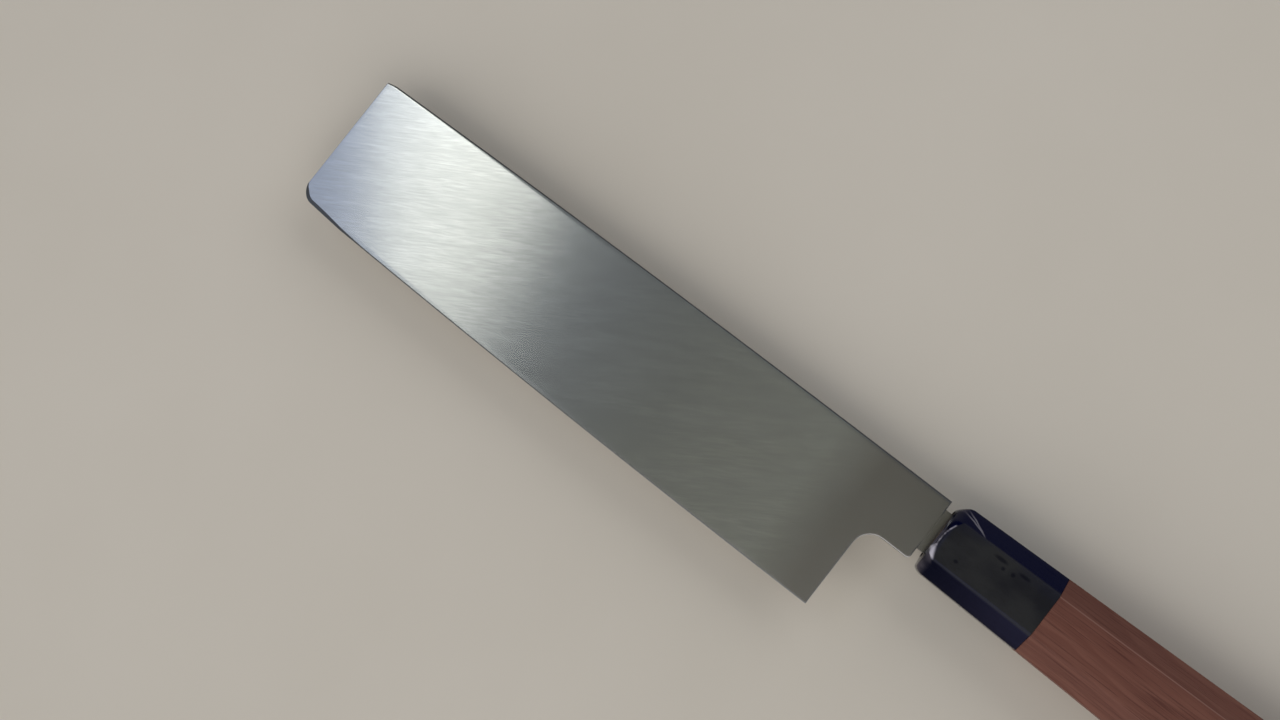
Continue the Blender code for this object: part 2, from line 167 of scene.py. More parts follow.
class NodeGraph:
    """The shader nodes of one material, built from small typed steps."""

    def __init__(self, name: str) -> None:
        """Starts a material with a Principled shader.

        Args:
            name: Name of the material.
        """
        self.material = bpy.data.materials.new(name)
        self.material.use_nodes = True
        self.tree = self.material.node_tree
        self.shader = self.tree.nodes["Principled BSDF"]

    def add(self, kind: str, inputs: dict[str | int, object] | None = None,
            **settings: object) -> bpy.types.Node:
        """Adds a node.

        Args:
            kind: Blender's type name of the node.
            inputs: Sockets or values by the input's name or number.
            **settings: Properties of the node.

        Returns:
            The new node.
        """
        node = self.tree.nodes.new(kind)
        for key, value in settings.items():
            setattr(node, key, value)
        for key, value in (inputs or {}).items():
            self.feed(node.inputs[key], value)
        return node

    def feed(self, target: Socket, value: object) -> None:
        """Links a socket to an input, or sets the input to a value.

        Args:
            target: Input socket.
            value: Output socket, number or vector.
        """
        if isinstance(value, bpy.types.NodeSocket):
            self.tree.links.new(value, target)
        else:
            target.default_value = value

    def constants(self, values: dict[str, object]) -> None:
        """Sets plain numbers or colours on the shader's own sockets."""
        for key, value in values.items():
            self.shader.inputs[key].default_value = value

    def grain_space(self, feature: Vector, turn: float = 0.0, origin: Vector | None = None) -> Socket:
        """Object coordinates turned about Z and measured in feature sizes.

        Args:
            feature: Size of one noise cell along, across and in depth, in metres.
            turn: Angle of the long direction from +X, in radians.
            origin: Point that becomes zero.

        Returns:
            Vector socket.
        """
        source = self.add("ShaderNodeTexCoord").outputs["Object"]
        mapping = self.add(
            "ShaderNodeMapping",
            {"Vector": source, "Location": origin or Vector(), "Rotation": (0, 0, turn), "Scale": feature},
            vector_type="TEXTURE",
        )
        return mapping.outputs["Vector"]

    def metres(self, origin: Vector) -> Socket:
        """Object coordinates in metres from a point."""
        return self.grain_space(METRE, 0.0, origin)

    def handle_space(self) -> Socket:
        """Coordinates in metres from the handle's axis at the ferrule's front."""
        return self.metres(PLACE.point(0.0, HANDLE_LEVEL, PLACE.handle_z))

    def noise(self, feature: Vector, turn: float = 0.0, detail: float = 2.0, roughness: float = 0.5,
              distortion: float = 0.0) -> Socket:
        """Noise in cells of one size.

        Args:
            feature: Size of a cell along, across and in depth, in metres.
            turn: Angle of the long direction from +X, in radians.
            detail: Octaves.
            roughness: Weight of the finer octaves.
            distortion: How far the noise bends itself.

        Returns:
            Socket from 0 to 1.
        """
        space = self.grain_space(feature, turn)
        inputs = {"Vector": space, "Scale": 1.0, "Detail": detail, "Roughness": roughness,
                  "Distortion": distortion}
        return self.add("ShaderNodeTexNoise", inputs).outputs["Fac"]

    def rescale(self, value: Socket, lows: Point, highs: Point, smooth: bool = False) -> Socket:
        """Maps a range onto another, clamped.

        Args:
            value: Socket to map.
            lows: Input and output value at the low end.
            highs: Input and output value at the high end.
            smooth: Ease in and out.

        Returns:
            Mapped socket.
        """
        inputs = {"Value": value, "From Min": lows[0], "From Max": highs[0],
                  "To Min": lows[1], "To Max": highs[1]}
        kind = "SMOOTHSTEP" if smooth else "LINEAR"
        return self.add("ShaderNodeMapRange", inputs, interpolation_type=kind).outputs["Result"]

    def spread(self, noise: Socket, low: float, high: float) -> Socket:
        """Maps the middle of a noise's range onto the range from low to high."""
        return self.rescale(noise, (NOISE_MIDDLE[0], low), (NOISE_MIDDLE[1], high))

    def band(self, value: Socket, rise: Point, fall: Point, smooth: bool = True) -> Socket:
        """Mask that rises from 0 to 1 and falls back to 0.

        Args:
            value: Socket that it follows.
            rise: Values between which the mask rises.
            fall: Values between which it falls.
            smooth: Ease in and out.

        Returns:
            Socket from 0 to 1.
        """
        coming = self.rescale(value, (rise[0], 0.0), (rise[1], 1.0), smooth)
        going = self.rescale(value, (fall[0], 1.0), (fall[1], 0.0), smooth)
        return self.product(coming, going)

    def sum(self, operation: Operation, *values: object) -> Socket:
        """One Math node.

        Args:
            operation: What it does.
            *values: Its one or two sockets or numbers.

        Returns:
            Result socket.
        """
        node = self.add("ShaderNodeMath", dict(enumerate(values)), operation=operation.value)
        return node.outputs["Value"]

    def product(self, *factors: object) -> Socket:
        """Multiplies sockets and numbers, from left to right."""
        return reduce(lambda first, second: self.sum(Operation.MULTIPLY, first, second), factors)

    def average(self, first: Socket, second: Socket) -> Socket:
        """The value halfway between two sockets."""
        return self.product(self.sum(Operation.ADD, first, second), 0.5)

    def tint(self, share: Socket, first: object, second: object) -> Socket:
        """Mixes two colours.

        Args:
            share: Share of the second colour.
            first: Colour or colour socket.
            second: Colour or colour socket.

        Returns:
            Colour socket.
        """
        node = self.add("ShaderNodeMix", data_type="RGBA")
        colours = [socket for socket in node.inputs if socket.type == "RGBA"]
        self.feed(node.inputs["Factor"], share)
        for socket, colour in zip(colours, (first, second)):
            self.feed(socket, colour if isinstance(colour, bpy.types.NodeSocket) else (*colour, 1.0))
        return next(socket for socket in node.outputs if socket.type == "RGBA")

    def axis(self, vector: Socket, name: str) -> Socket:
        """One coordinate, X, Y or Z, of a vector."""
        return self.add("ShaderNodeSeparateXYZ", {"Vector": vector}).outputs[name]

    def absolute(self, value: Socket) -> Socket:
        """A value without its sign."""
        return self.sum(Operation.ABSOLUTE, value)

    def length(self, vector: Socket) -> Socket:
        """Length of a vector."""
        return self.add("ShaderNodeVectorMath", {0: vector}, operation="LENGTH").outputs["Value"]

    def finish(self, colour: Socket, roughness: Socket, height: Socket, depth: float) -> bpy.types.Material:
        """Joins colour, roughness and relief to the shader.

        Args:
            colour: Base colour.
            roughness: Roughness.
            height: Relief from 0 to 1.
            depth: Height of the relief in metres.

        Returns:
            The finished material.
        """
        self.feed(self.shader.inputs["Base Color"], colour)
        self.feed(self.shader.inputs["Roughness"], roughness)
        bump = self.add("ShaderNodeBump", {"Height": height, "Distance": depth, "Strength": 1.0})
        self.feed(self.shader.inputs["Normal"], bump.outputs["Normal"])
        return self.material


@dataclass(frozen=True)
class SteelFinish:
    """Steel with the fine scratches of a stone or a belt, all in one direction.

    Attributes:
        name: Name of the material.
        light: Colour of the cleanest steel.
        dark: Colour of the dullest steel.
        roughness: Roughness between the scratches and in them.
        anisotropy: How strongly the scratches draw a highlight out.
        scratch_angle: Angle of the scratches from the knife's length, in degrees.
        scratch_length: Length of a scratch.
        scratch_width: Width of a scratch.
        relief: Depth of the scratches.
        cloud: Size of the dull and clean patches.
        contrast: How far a scratch darkens the steel.
        handle_reflection: Painted reflection: a darker brown on the steel toward the handle, which it
            mirrors there.
        handle_reflection_stations: Stations between which that painted reflection comes in.
        handle_reflection_share: How much of the steel's own colour it covers.
    """

    name: str
    light: Colour
    dark: Colour
    roughness: Point
    anisotropy: float
    scratch_angle: float
    scratch_length: float = 0.014
    scratch_width: float = 0.00016
    relief: float = 0.0000012
    cloud: float = 0.022
    contrast: float = 0.35
    handle_reflection: Colour | None = None
    handle_reflection_stations: Point = (-0.036, -0.021)
    handle_reflection_share: float = 0.9

    def make(self) -> bpy.types.Material:
        """Builds the material."""
        graph = NodeGraph(self.name)
        graph.constants({"Metallic": 1.0, "Anisotropic": self.anisotropy})
        turn = math.radians(self.scratch_angle)
        hair = cell(self.scratch_length, self.scratch_width)
        band = cell(self.scratch_length * 2, self.scratch_width * 6)
        patch = cell(self.cloud * 2, self.cloud)
        scratches = graph.noise(hair, turn, detail=3.0, roughness=0.62)
        bands = graph.noise(band, turn)
        patches = graph.noise(patch, turn, detail=3.0, roughness=0.55)
        wear = graph.spread(graph.average(bands, patches), 0.0, 1.0)
        colour = graph.tint(wear, self.light, self.dark)
        streak = graph.rescale(scratches, (0.38, 0.0), (0.64, 1.0))
        colour = graph.tint(graph.product(streak, self.contrast), colour, self.dark)
        # Painted reflection: the steel turns browner toward the handle that it mirrors.
        if self.handle_reflection:
            start, end = self.handle_reflection_stations
            station = graph.axis(graph.metres(PLACE.point(0.0, 0.0, 0.0)), "X")
            reflected_share = graph.rescale(station, (start, 0.0), (end, self.handle_reflection_share))
            colour = graph.tint(reflected_share, colour, self.handle_reflection)
        roughness = graph.spread(graph.average(scratches, patches), *self.roughness)
        tangent = graph.add("ShaderNodeTangent", direction_type="UV_MAP", uv_map=POLISH_MAP)
        graph.feed(graph.shader.inputs["Tangent"], tangent.outputs["Tangent"])
        return graph.finish(colour, roughness, scratches, self.relief)


@cache
def steel_material(finish: SteelFinish) -> bpy.types.Material:
    """The one material of a steel finish, which every piece shares."""
    return finish.make()


@dataclass(frozen=True)
class HornFinish:
    """Buffalo horn: cloudy satin on the broad facets, glossy black on the others with painted bluish
    reflections, and a paler front with a painted highlight.

    Attributes:
        name: Name of the material.
        black: Colour of the glossy facets.
        navy_reflection: Bluish reflection painted on the facets toward the spine.
        olive: Colour of the satin facets.
        rim: Paler colour painted on the front's outer corners, as the glow of light through the thin horn,
            and on its fringe before the satin facet, as worn horn with a painted highlight.
        pale: Colour of the pale streaks.
        painted_highlight: Colour of the painted highlight line where the satin facet meets the rounded
            front.
        rear_reflection: Lighter bluish colour painted on the facets toward the edge, toward the wood, as
            their reflection.
        streaks: Station and level at which each pale streak starts and ends.
        streak_width: Width of a streak.
        streak_bow: How far a streak bows toward the spine.
        specks: Station, level, length and width of each dark speck.
        rim_length: Length of the pale corners.
        satin_height: Heights from the handle's axis between which the glossy facets turn satin.
        front_line: Station of the satin facet's front border at its middle, and how much further back it
            lies at the facet's sides.
        front_middle: Level of that middle, from the handle's axis.
        front_half: Half the facet's width.
        highlight_line_width: Width of the painted highlight line toward the spine and at its widest.
        speck_depth: How far a speck darkens the horn.
        gloss: Roughness of the glossy facets between the haze and in it.
        satin_roughness: How much rougher the satin facets are.
        relief: Height of the fibres.
    """

    name: str
    black: Colour
    navy_reflection: Colour
    olive: Colour
    rim: Colour
    pale: Colour
    painted_highlight: Colour
    rear_reflection: Colour
    streaks: tuple[tuple[Point, Point], ...]
    streak_width: float
    streak_bow: float
    specks: tuple[tuple[float, float, float, float], ...]
    rim_length: float
    satin_height: Point = (0.0085, 0.0091)
    front_line: Point = (0.0010, 0.0016)
    front_middle: float = -0.0005
    front_half: float = 0.0056
    highlight_line_width: Point = (0.00045, 0.0015)
    speck_depth: float = 0.6
    gloss: Point = (0.14, 0.2)
    satin_roughness: float = 0.12
    relief: float = 0.00002

    def streak_mask(self, graph: NodeGraph, start: Point, end: Point, wander: Socket) -> Socket:
        """Mask of one streak: a thin line that rises, bows and fades.

        Args:
            graph: The material's nodes.
            start: Station and level where it starts.
            end: Station and level where it ends.
            wander: Noise that bends it.

        Returns:
            Socket from 0 to 1.
        """
        origin = PLACE.point(*start, 0.0)
        run = PLACE.point(*end, 0.0) - origin
        feature = Vector((run.length, self.streak_width, 1.0))
        space = graph.grain_space(feature, math.atan2(run.y, run.x), origin)
        along = graph.axis(space, "X")
        rest = graph.sum(Operation.SUBTRACT, 1.0, along)
        bow = graph.product(along, rest, 4 * self.streak_bow / self.streak_width)
        bend = graph.sum(Operation.ADD, bow, graph.spread(wander, -0.25, 0.25))
        across = graph.sum(Operation.SUBTRACT, graph.axis(space, "Y"), bend)
        line = graph.rescale(graph.absolute(across), (0.1, 1.0), (0.7, 0.0), smooth=True)
        return graph.product(line, graph.band(along, (-0.05, 0.45), (0.75, 1.1)))

    def speck_mask(self, graph: NodeGraph, speck: tuple[float, float, float, float]) -> Socket:
        """Mask of one dark speck, soft at its outline.

        Args:
            graph: The material's nodes.
            speck: Station, level, length and width.

        Returns:
            Socket from 0 to 1.
        """
        station, level, length, width = speck
        space = graph.grain_space(Vector((length, width, 1.0)), 0.0, PLACE.point(station, level, 0.0))
        return graph.rescale(graph.length(space), (0.2, 1.0), (0.65, 0.0), smooth=True)

    def behind_front(self, graph: NodeGraph, place: Socket) -> Socket:
        """How far a point lies behind the satin facet's curved front border, in metres."""
        middle = graph.sum(Operation.SUBTRACT, graph.axis(place, "Y"), self.front_middle)
        share = graph.product(middle, 1 / self.front_half)
        start, bulge = self.front_line
        border = graph.sum(Operation.ADD, graph.product(share, share, bulge), start)
        return graph.sum(Operation.SUBTRACT, graph.axis(place, "X"), border)

    def highlight_line_mask(self, graph: NodeGraph, place: Socket, behind: Socket, haze: Socket) -> Socket:
        """Mask of the painted highlight line: broken toward the spine, swelling and whole toward the edge.

        Args:
            graph: The material's nodes.
            place: Coordinates from the axis at the front.
            behind: Distance behind the satin facet's front border.
            haze: Noise that breaks it up.

        Returns:
            Socket from 0 to 1.
        """
        level = graph.axis(place, "Y")
        whole = graph.rescale(level, (-0.0038, 0.95), (-0.0018, 0.0), smooth=True)
        tail = graph.rescale(level, (-0.0062, 0.3), (-0.0048, 1.0), smooth=True)
        thin, wide = self.highlight_line_width
        width = graph.rescale(graph.product(whole, tail), (0.0, thin), (0.9, wide))
        share = graph.sum(Operation.DIVIDE, behind, width)
        line = graph.band(share, (-1.05, -0.7), (-0.45, 0.2))
        reach = graph.band(level, (-0.0063, -0.0053), (0.0038, 0.0049))
        broken = graph.sum(Operation.MAXIMUM, graph.rescale(haze, (0.44, 0.1), (0.60, 0.6)), whole)
        return graph.product(line, reach, broken)

    def ground_colour(self, graph: NodeGraph, place: Socket, cloudy: Socket) -> Socket:
        """Colour of the horn, facet by facet, with bluish reflections painted on its glossy facets.

        Args:
            graph: The material's nodes.
            place: Coordinates from the axis at the front.
            cloudy: Mask of the satin facets and their clouds.

        Returns:
            Colour socket.
        """
        level = graph.axis(place, "Y")
        low = graph.rescale(level, (-0.0066, 1.0), (-0.0052, 0.0), smooth=True)
        rear = graph.rescale(graph.axis(place, "X"), (0.004, 0.0), (0.024, 1.0))
        # Painted bluish reflection on the facets toward the spine.
        colour = graph.tint(graph.rescale(level, (0.0030, 0.0), (0.0050, 1.0)), self.black, self.navy_reflection)
        # Painted reflection: the facets toward the edge turn lighter and bluer toward the wood.
        colour = graph.tint(graph.product(low, rear), colour, self.rear_reflection)
        return graph.tint(cloudy, colour, self.olive)

    def glowing_corner_mask(self, graph: NodeGraph, place: Socket, haze: Socket) -> Socket:
        """Mask of the front's pale outer corners, where light glowing through the thin horn is painted,
        toward the spine and toward the edge.

        Args:
            graph: The material's nodes.
            place: Coordinates from the axis at the front.
            haze: Noise that breaks it up.

        Returns:
            Socket from 0 to 1.
        """
        level = graph.axis(place, "Y")
        front = graph.rescale(graph.axis(place, "X"), (0.0, 1.0), (self.rim_length, 0.0), smooth=True)
        spine_side = graph.rescale(level, (0.0078, 0.0), (0.0092, 1.0), smooth=True)
        edge_side = graph.rescale(level, (-0.0088, 1.0), (-0.0060, 0.0), smooth=True)
        outer = graph.sum(Operation.MAXIMUM, spine_side, edge_side)
        return graph.product(front, outer, graph.rescale(haze, (0.3, 0.4), (0.65, 0.9)))

    def worn_and_highlit_fringe_mask(self, graph: NodeGraph, place: Socket, behind: Socket, height: Socket) -> Socket:
        """Mask of the paler fringe on the rounded front, just before the satin facet: horn worn there, with
        a painted highlight.

        Args:
            graph: The material's nodes.
            place: Coordinates from the axis at the front.
            behind: Distance behind the satin facet's front border.
            height: Distance above or below the axis.

        Returns:
            Socket from 0 to 1.
        """
        before = graph.rescale(behind, (-0.0008, 0.65), (-0.0002, 0.0))
        facing = graph.product(before, graph.rescale(height, (0.0060, 0.0), (0.0076, 1.0)))
        span = graph.band(graph.axis(place, "Y"), (-0.0074, -0.0058), (0.0012, 0.0026), smooth=False)
        return graph.product(facing, span)

    def make(self) -> bpy.types.Material:
        """Builds the material."""
        graph = NodeGraph(self.name)
        # Painted reflection: the blue specular tint turns the horn's reflections blue.
        graph.constants({"IOR": 1.5, "Specular IOR Level": 0.15, "Specular Tint": (0.20, 0.28, 1.0, 1.0)})
        place = graph.handle_space()
        height = graph.absolute(graph.axis(place, "Z"))
        upper = graph.rescale(graph.axis(place, "Z"), (-0.001, 0.0), (0.001, 1.0))
        behind = self.behind_front(graph, place)
        fibres = graph.noise(cell(0.02, 0.0022), detail=3.0, distortion=0.6)
        cloud = graph.noise(cell(0.014, 0.009), detail=3.0)
        haze = graph.noise(cell(0.0018, 0.0009), detail=4.0, roughness=0.7)
        wander = graph.noise(cell(0.004, 0.004), detail=1.0)
        gloss_end, satin_start = self.satin_height
        facet = graph.rescale(height, (gloss_end, 0.0), (satin_start, 1.0), smooth=True)
        satin = graph.product(facet, graph.rescale(behind, (-0.0002, 0.0), (0.0001, 1.0)))
        cloudy = graph.product(satin, graph.rescale(cloud, (0.35, 0.55), (0.6, 1.0)))
        colour = self.ground_colour(graph, place, cloudy)
        for speck in self.specks:
            share = graph.product(self.speck_mask(graph, speck), self.speck_depth, upper)
            colour = graph.tint(share, colour, self.black)
        # Painted glow of light through the thin horn at the front's outer corners.
        colour = graph.tint(self.glowing_corner_mask(graph, place, haze), colour, self.rim)
        # Paler fringe on the rounded front: worn horn with a painted highlight.
        colour = graph.tint(self.worn_and_highlit_fringe_mask(graph, place, behind, height), colour, self.rim)
        # Painted highlight along the satin facet's front border, full on the upper side and weaker below.
        bright = graph.rescale(upper, (0.0, 0.3), (1.0, 1.0))
        painted_highlight = graph.product(self.highlight_line_mask(graph, place, behind, haze), bright)
        colour = graph.tint(painted_highlight, colour, self.painted_highlight)
        for start, end in self.streaks:
            share = graph.product(self.streak_mask(graph, start, end, wander), upper)
            colour = graph.tint(share, colour, self.pale)
        gloss = graph.rescale(haze, (0.35, self.gloss[0]), (0.7, self.gloss[1]))
        roughness = graph.sum(Operation.ADD, gloss, graph.product(satin, self.satin_roughness))
        return graph.finish(colour, roughness, fibres, self.relief)


@dataclass(frozen=True)
class WoodFinish:
    """Wood with growth rings about a pith beside the piece, fine pores and a thin oil finish.

    Attributes:
        name: Name of the material.
        light: Colour of the early wood.
        middle: Colour of the late wood.
        dark: Colour of the pores.
        pith: Station, level and height of a point on the pith.
        ring: Width of a growth ring.
        pore_length: Length of a pore line.
        pore_width: Width of a pore line.
        roughness: Roughness of the polished and of the open parts.
        coat: Weight of the oil's gloss.
        front_shade: Length of the front end on which shade in the ferrule's mouth is painted, 0 for none.
        corner: Colour of the long corners toward the spine: polish from wear, with a painted highlight.
        corner_line: Station and level from the handle's axis at which such a corner starts and ends.
        burnt: Colour of the shade painted on the front end.
        figure_size: How many pores long and wide a cell of the figure is.
        relief: Depth of the pores.
    """

    name: str
    light: Colour
    middle: Colour
    dark: Colour
    pith: tuple[float, float, float]
    ring: float
    pore_length: float
    pore_width: float
    roughness: Point
    coat: float
    front_shade: float = 0.0
    corner: Colour | None = None
    corner_line: tuple[Point, Point] = ((0.0, 0.0), (1.0, 0.0))
    burnt: Colour = (0.03, 0.018, 0.01)
    figure_size: float = 5.0
    relief: float = 0.00003

    def worn_corner_highlight(self, graph: NodeGraph) -> Socket:
        """Mask of the long corners toward the spine, for their wear polish and painted highlight, which
        ends short of the rounded butt.

        Args:
            graph: The material's nodes.

        Returns:
            Socket from 0 to 1.
        """
        place = graph.handle_space()
        station = graph.axis(place, "X")
        corner = graph.rescale(station, *self.corner_line)
        away = graph.absolute(graph.sum(Operation.SUBTRACT, graph.axis(place, "Y"), corner))
        line = graph.rescale(away, (0.00006, 0.55), (0.00024, 0.0), smooth=True)
        butt = self.corner_line[1][0]
        return graph.product(line, graph.rescale(station, (butt - 0.003, 1.0), (butt - 0.002, 0.0)))

    def rings(self, graph: NodeGraph) -> Socket:
        """Growth rings: distance from the pith, bent by the tree's slow wander.

        Args:
            graph: The material's nodes.

        Returns:
            Socket from 0 to 1.
        """
        space = graph.grain_space(cell(self.ring, self.ring), 0.0, PLACE.point(*self.pith))
        flat = graph.add("ShaderNodeVectorMath", {0: space, 1: (0.0, 1.0, 1.0)}, operation="MULTIPLY")
        wander = graph.rescale(graph.noise(cell(0.05, 0.012)), (0.2, 0.0), (0.8, 2.6))
        bent = graph.sum(Operation.ADD, graph.length(flat.outputs["Vector"]), wander)
        return graph.band(graph.sum(Operation.FRACTION, bent), (0.0, 0.8), (0.86, 1.0))

    def make(self) -> bpy.types.Material:
        """Builds the material."""
        graph = NodeGraph(self.name)
        graph.constants({"Coat Weight": self.coat, "Coat Roughness": 0.3, "Specular IOR Level": 0.1})
        pore = cell(self.pore_length, self.pore_width)
        pores = graph.noise(pore, roughness=0.55, distortion=0.15)
        figure = graph.noise(pore * self.figure_size, detail=3.0, distortion=0.4)
        shade = graph.noise(cell(0.09, 0.016))
        late = graph.rescale(self.rings(graph), (0.0, 0.0), (1.0, 0.55))
        colour = graph.tint(late, self.light, self.middle)
        colour = graph.tint(graph.rescale(figure, (0.42, 0.0), (0.66, 0.55)), colour, self.middle)
        colour = graph.tint(graph.rescale(shade, (0.35, 0.0), (0.7, 0.3)), colour, self.dark)
        lines = graph.rescale(pores, (0.53, 0.0), (0.68, 0.60))
        colour = graph.tint(lines, colour, self.dark)
        # Painted highlight, with wear polish, along the long corners toward the spine.
        if self.corner:
            colour = graph.tint(self.worn_corner_highlight(graph), colour, self.corner)
        # Painted shade on the front end, which sits back in the ferrule's mouth.
        if self.front_shade:
            space = graph.grain_space(cell(self.front_shade, 1.0), 0.0, PLACE.point(0.0, 0.0, 0.0))
            shaded = graph.rescale(graph.axis(space, "X"), (0.2, 0.75), (1.0, 0.0), smooth=True)
            colour = graph.tint(shaded, colour, self.burnt)
        polished, open_grain = self.roughness
        roughness = graph.rescale(pores, (0.4, polished), (0.68, open_grain))
        return graph.finish(colour, roughness, graph.sum(Operation.SUBTRACT, 1.0, lines), self.relief)


@dataclass(frozen=True)
class FloorFinish:
    """A plain pale studio floor with a faint mottle.

    Attributes:
        colour: Colour of the floor.
        mottle: Colour of its faint patches.
        roughness: Roughness between the patches and in them.
        patch: Size of a patch.
        grit: Size of the surface's grit.
        relief: Height of the grit.
    """

    colour: Colour
    mottle: Colour
    roughness: Point = (0.75, 0.85)
    patch: float = 0.12
    grit: float = 0.0006
    relief: float = 0.00001

    def make(self) -> bpy.types.Material:
        """Builds the material."""
        graph = NodeGraph("studio_floor")
        graph.constants({"Specular IOR Level": 0.2})
        patches = graph.noise(cell(self.patch, self.patch), detail=4.0)
        colour = graph.tint(graph.spread(patches, 0.0, 1.0), self.colour, self.mottle)
        grit = graph.noise(cell(self.grit, self.grit))
        return graph.finish(colour, graph.spread(patches, *self.roughness), grit, self.relief)


def shade_smooth(solid: bmesh.types.BMesh) -> None:
    """Faces a solid outward and shades it smooth, but for the edges where it turns sharply."""
    bmesh.ops.recalc_face_normals(solid, faces=solid.faces)
    for face in solid.faces:
        face.smooth = True
    for edge in solid.edges:
        edge.smooth = edge.calc_face_angle(0.0) < CRISP_ANGLE


def link_object(name: str, data: bpy.types.ID) -> bpy.types.Object:
    """Puts a mesh, a lamp or a camera into the scene as an object."""
    made = bpy.data.objects.new(name, data)
    bpy.context.scene.collection.objects.link(made)
    return made


def release(name: str, net: bmesh.types.BMesh, materials: list[bpy.types.Material]) -> bpy.types.Object:
    """Makes an object of a modelled net.

    Args:
        name: Name of the object.
        net: The net, which is freed.
        materials: Its materials, in the order of its faces' numbers.

    Returns:
        The object.
    """
    mesh = bpy.data.meshes.new(name)
    for material in materials:
        mesh.materials.append(material)
    net.to_mesh(mesh)
    net.free()
    return link_object(name, mesh)


def install(piece: bpy.types.Object, node: str) -> None:
    """Lets a piece stand for a solid of the frame.

    Args:
        piece: The dressed piece.
        node: The solid that it replaces.
    """
    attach(piece, "root")
    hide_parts(node)
    LOG.info("%s: %d faces, replaces %s", piece.name, len(piece.data.polygons), node)


class Region(Enum):
    """Which way a blade's surface was ground: each has its own finish."""

    URA = 0
    RIM = 1
    BEVEL = 2
    FLAT = 3
    SIDE = 4
    TANG = 5


@dataclass(frozen=True)
class BladeShape:
    """Outline and section of the blade: the same lines as the solids, with finer edges.

    Attributes:
        edge_length: Length of the cutting edge.
        heel_level: Level of the edge at the heel.
        tip_edge_level: Level of the edge at the tip, but for its turn.
        tip_spine_level: Level of the spine at the tip, but for its turn.
        spine_crown: Bulge of the spine halfway.
        edge_belly: Bulge of the edge halfway.
        edge_turn: Length and slope at which the edge turns in before the tip.
        spine_turn: Length and slope at which the spine turns in before the tip.
        corner_radius: Radius of the corner between front and edge.
        neck_length: From the heel's back to the shoulder.
        neck_level: Level of the neck's lower side.
        chin_radius: Radius between the heel's back and the neck.
        neck_corner: Radius of the neck's corner at the shoulder.
        shoulder_gap: From the shoulder to the ferrule.
        tang_upper: Level of the tang's upper side at the shoulder.
        tang_width: Width of the tang at the shoulder.
        tang_length: Length of the tang.
        tang_end_width: Width of the tang before its pointed end.
        tang_end_point: Length of that end.
        shoulder_thickness: Thickness at the shoulder.
        tip_thickness: Thickness at the tip.
        tang_end_thickness: Thickness at the tang's end.
        edge_land: Thickness of the cutting edge itself.
        bevel_angle: Angle of the ground bevel.
        weld_offset: Distance of the weld line from the edge, on the bevel.
        weld_wander: How far the weld line wanders.
        hollow_depth: Depth of the hollow face.
        hollow_rims: Widths of its flat rims at edge, spine, tip and heel.
        hollow_run_outs: Lengths over which it fades toward the tip and the heel.
        corner_rim: Width of the dressed rim round the tip's corner.
        edge_rim: Width of that rim along the edge.
        rim_angle: Angle of the rim.
        rim_fade: Length behind the tip's corner over which the rim narrows.
        weld_run_in: Distance from the tip at which the weld line starts to wander, and the length over
            which it does.
        weld_waves: Share, radians to the metre and start of each wave of its wandering.
    """

    edge_length: float = 0.180
    heel_level: float = -0.0437
    tip_edge_level: float = -0.0427
    tip_spine_level: float = -0.0013
    spine_crown: float = 0.00074
    edge_belly: float = 0.00081
    edge_turn: Point = (0.0158, 0.045)
    spine_turn: Point = (0.0026, 0.20)
    corner_radius: float = 0.0048
    neck_length: float = 0.0135
    neck_level: float = -0.0184
    chin_radius: float = 0.0055
    neck_corner: float = 0.0010
    shoulder_gap: float = 0.0020
    tang_upper: float = -0.0026
    tang_width: float = 0.0123
    tang_length: float = 0.095
    tang_end_width: float = 0.0065
    tang_end_point: float = 0.0040
    shoulder_thickness: float = 0.0034
    tip_thickness: float = 0.0026
    tang_end_thickness: float = 0.0022
    edge_land: float = 0.00014
    bevel_angle: float = math.radians(11.5)
    weld_offset: float = 0.0045
    weld_wander: float = 0.00035
    hollow_depth: float = 0.00025
    hollow_rims: tuple[float, float, float, float] = (0.0012, 0.0011, 0.0010, 0.0030)
    hollow_run_outs: Point = (0.040, 0.014)
    corner_rim: float = 0.0011
    edge_rim: float = 0.00036
    rim_angle: float = math.radians(11)
    rim_fade: float = 0.022
    weld_run_in: Point = (0.006, 0.02)
    weld_waves: tuple[tuple[float, float, float], ...] = (
        (1.0, 151.0, 0.0), (0.6, 347.0, 1.3), (0.35, 811.0, 0.0),
    )

    @property
    def shoulder(self) -> float:
        """Station of the shoulder."""
        return -self.shoulder_gap

    @property
    def heel(self) -> float:
        """Station of the heel's back."""
        return self.shoulder - self.neck_length

    @property
    def tip(self) -> float:
        """Station of the front."""
        return self.heel - self.edge_length

    @property
    def tang_lower(self) -> float:
        """Level of the tang's lower side at the shoulder."""
        return self.tang_upper - self.tang_width

    def turned_in(self, station: float, turn: Point) -> float:
        """How far an outline has turned in at a station, for its length and slope before the tip."""
        length, slope = turn
        return slope * max(self.tip + length - station, 0.0)

    def spine(self, station: float) -> float:
        """Level of the spine at a station."""
        share = max((self.shoulder - station) / (self.shoulder - self.tip), 0.0)
        level = mix(0.0, self.tip_spine_level, share) + self.spine_crown * arch(share)
        return level - self.turned_in(station, self.spine_turn)

    def edge(self, station: float) -> float:
        """Level of the cutting edge at a station."""
        share = (self.heel - station) / self.edge_length
        level = mix(self.heel_level, self.tip_edge_level, share) - self.edge_belly * arch(share)
        return level + self.turned_in(station, self.edge_turn)

    def thickness(self, station: float) -> float:
        """Thickness of blade or tang at a station."""
        if station < self.shoulder:
            share = (self.shoulder - station) / (self.shoulder - self.tip)
            return mix(self.shoulder_thickness, self.tip_thickness, share)
        share = (station - self.shoulder) / self.tang_length
        return mix(self.shoulder_thickness, self.tang_end_thickness, share)

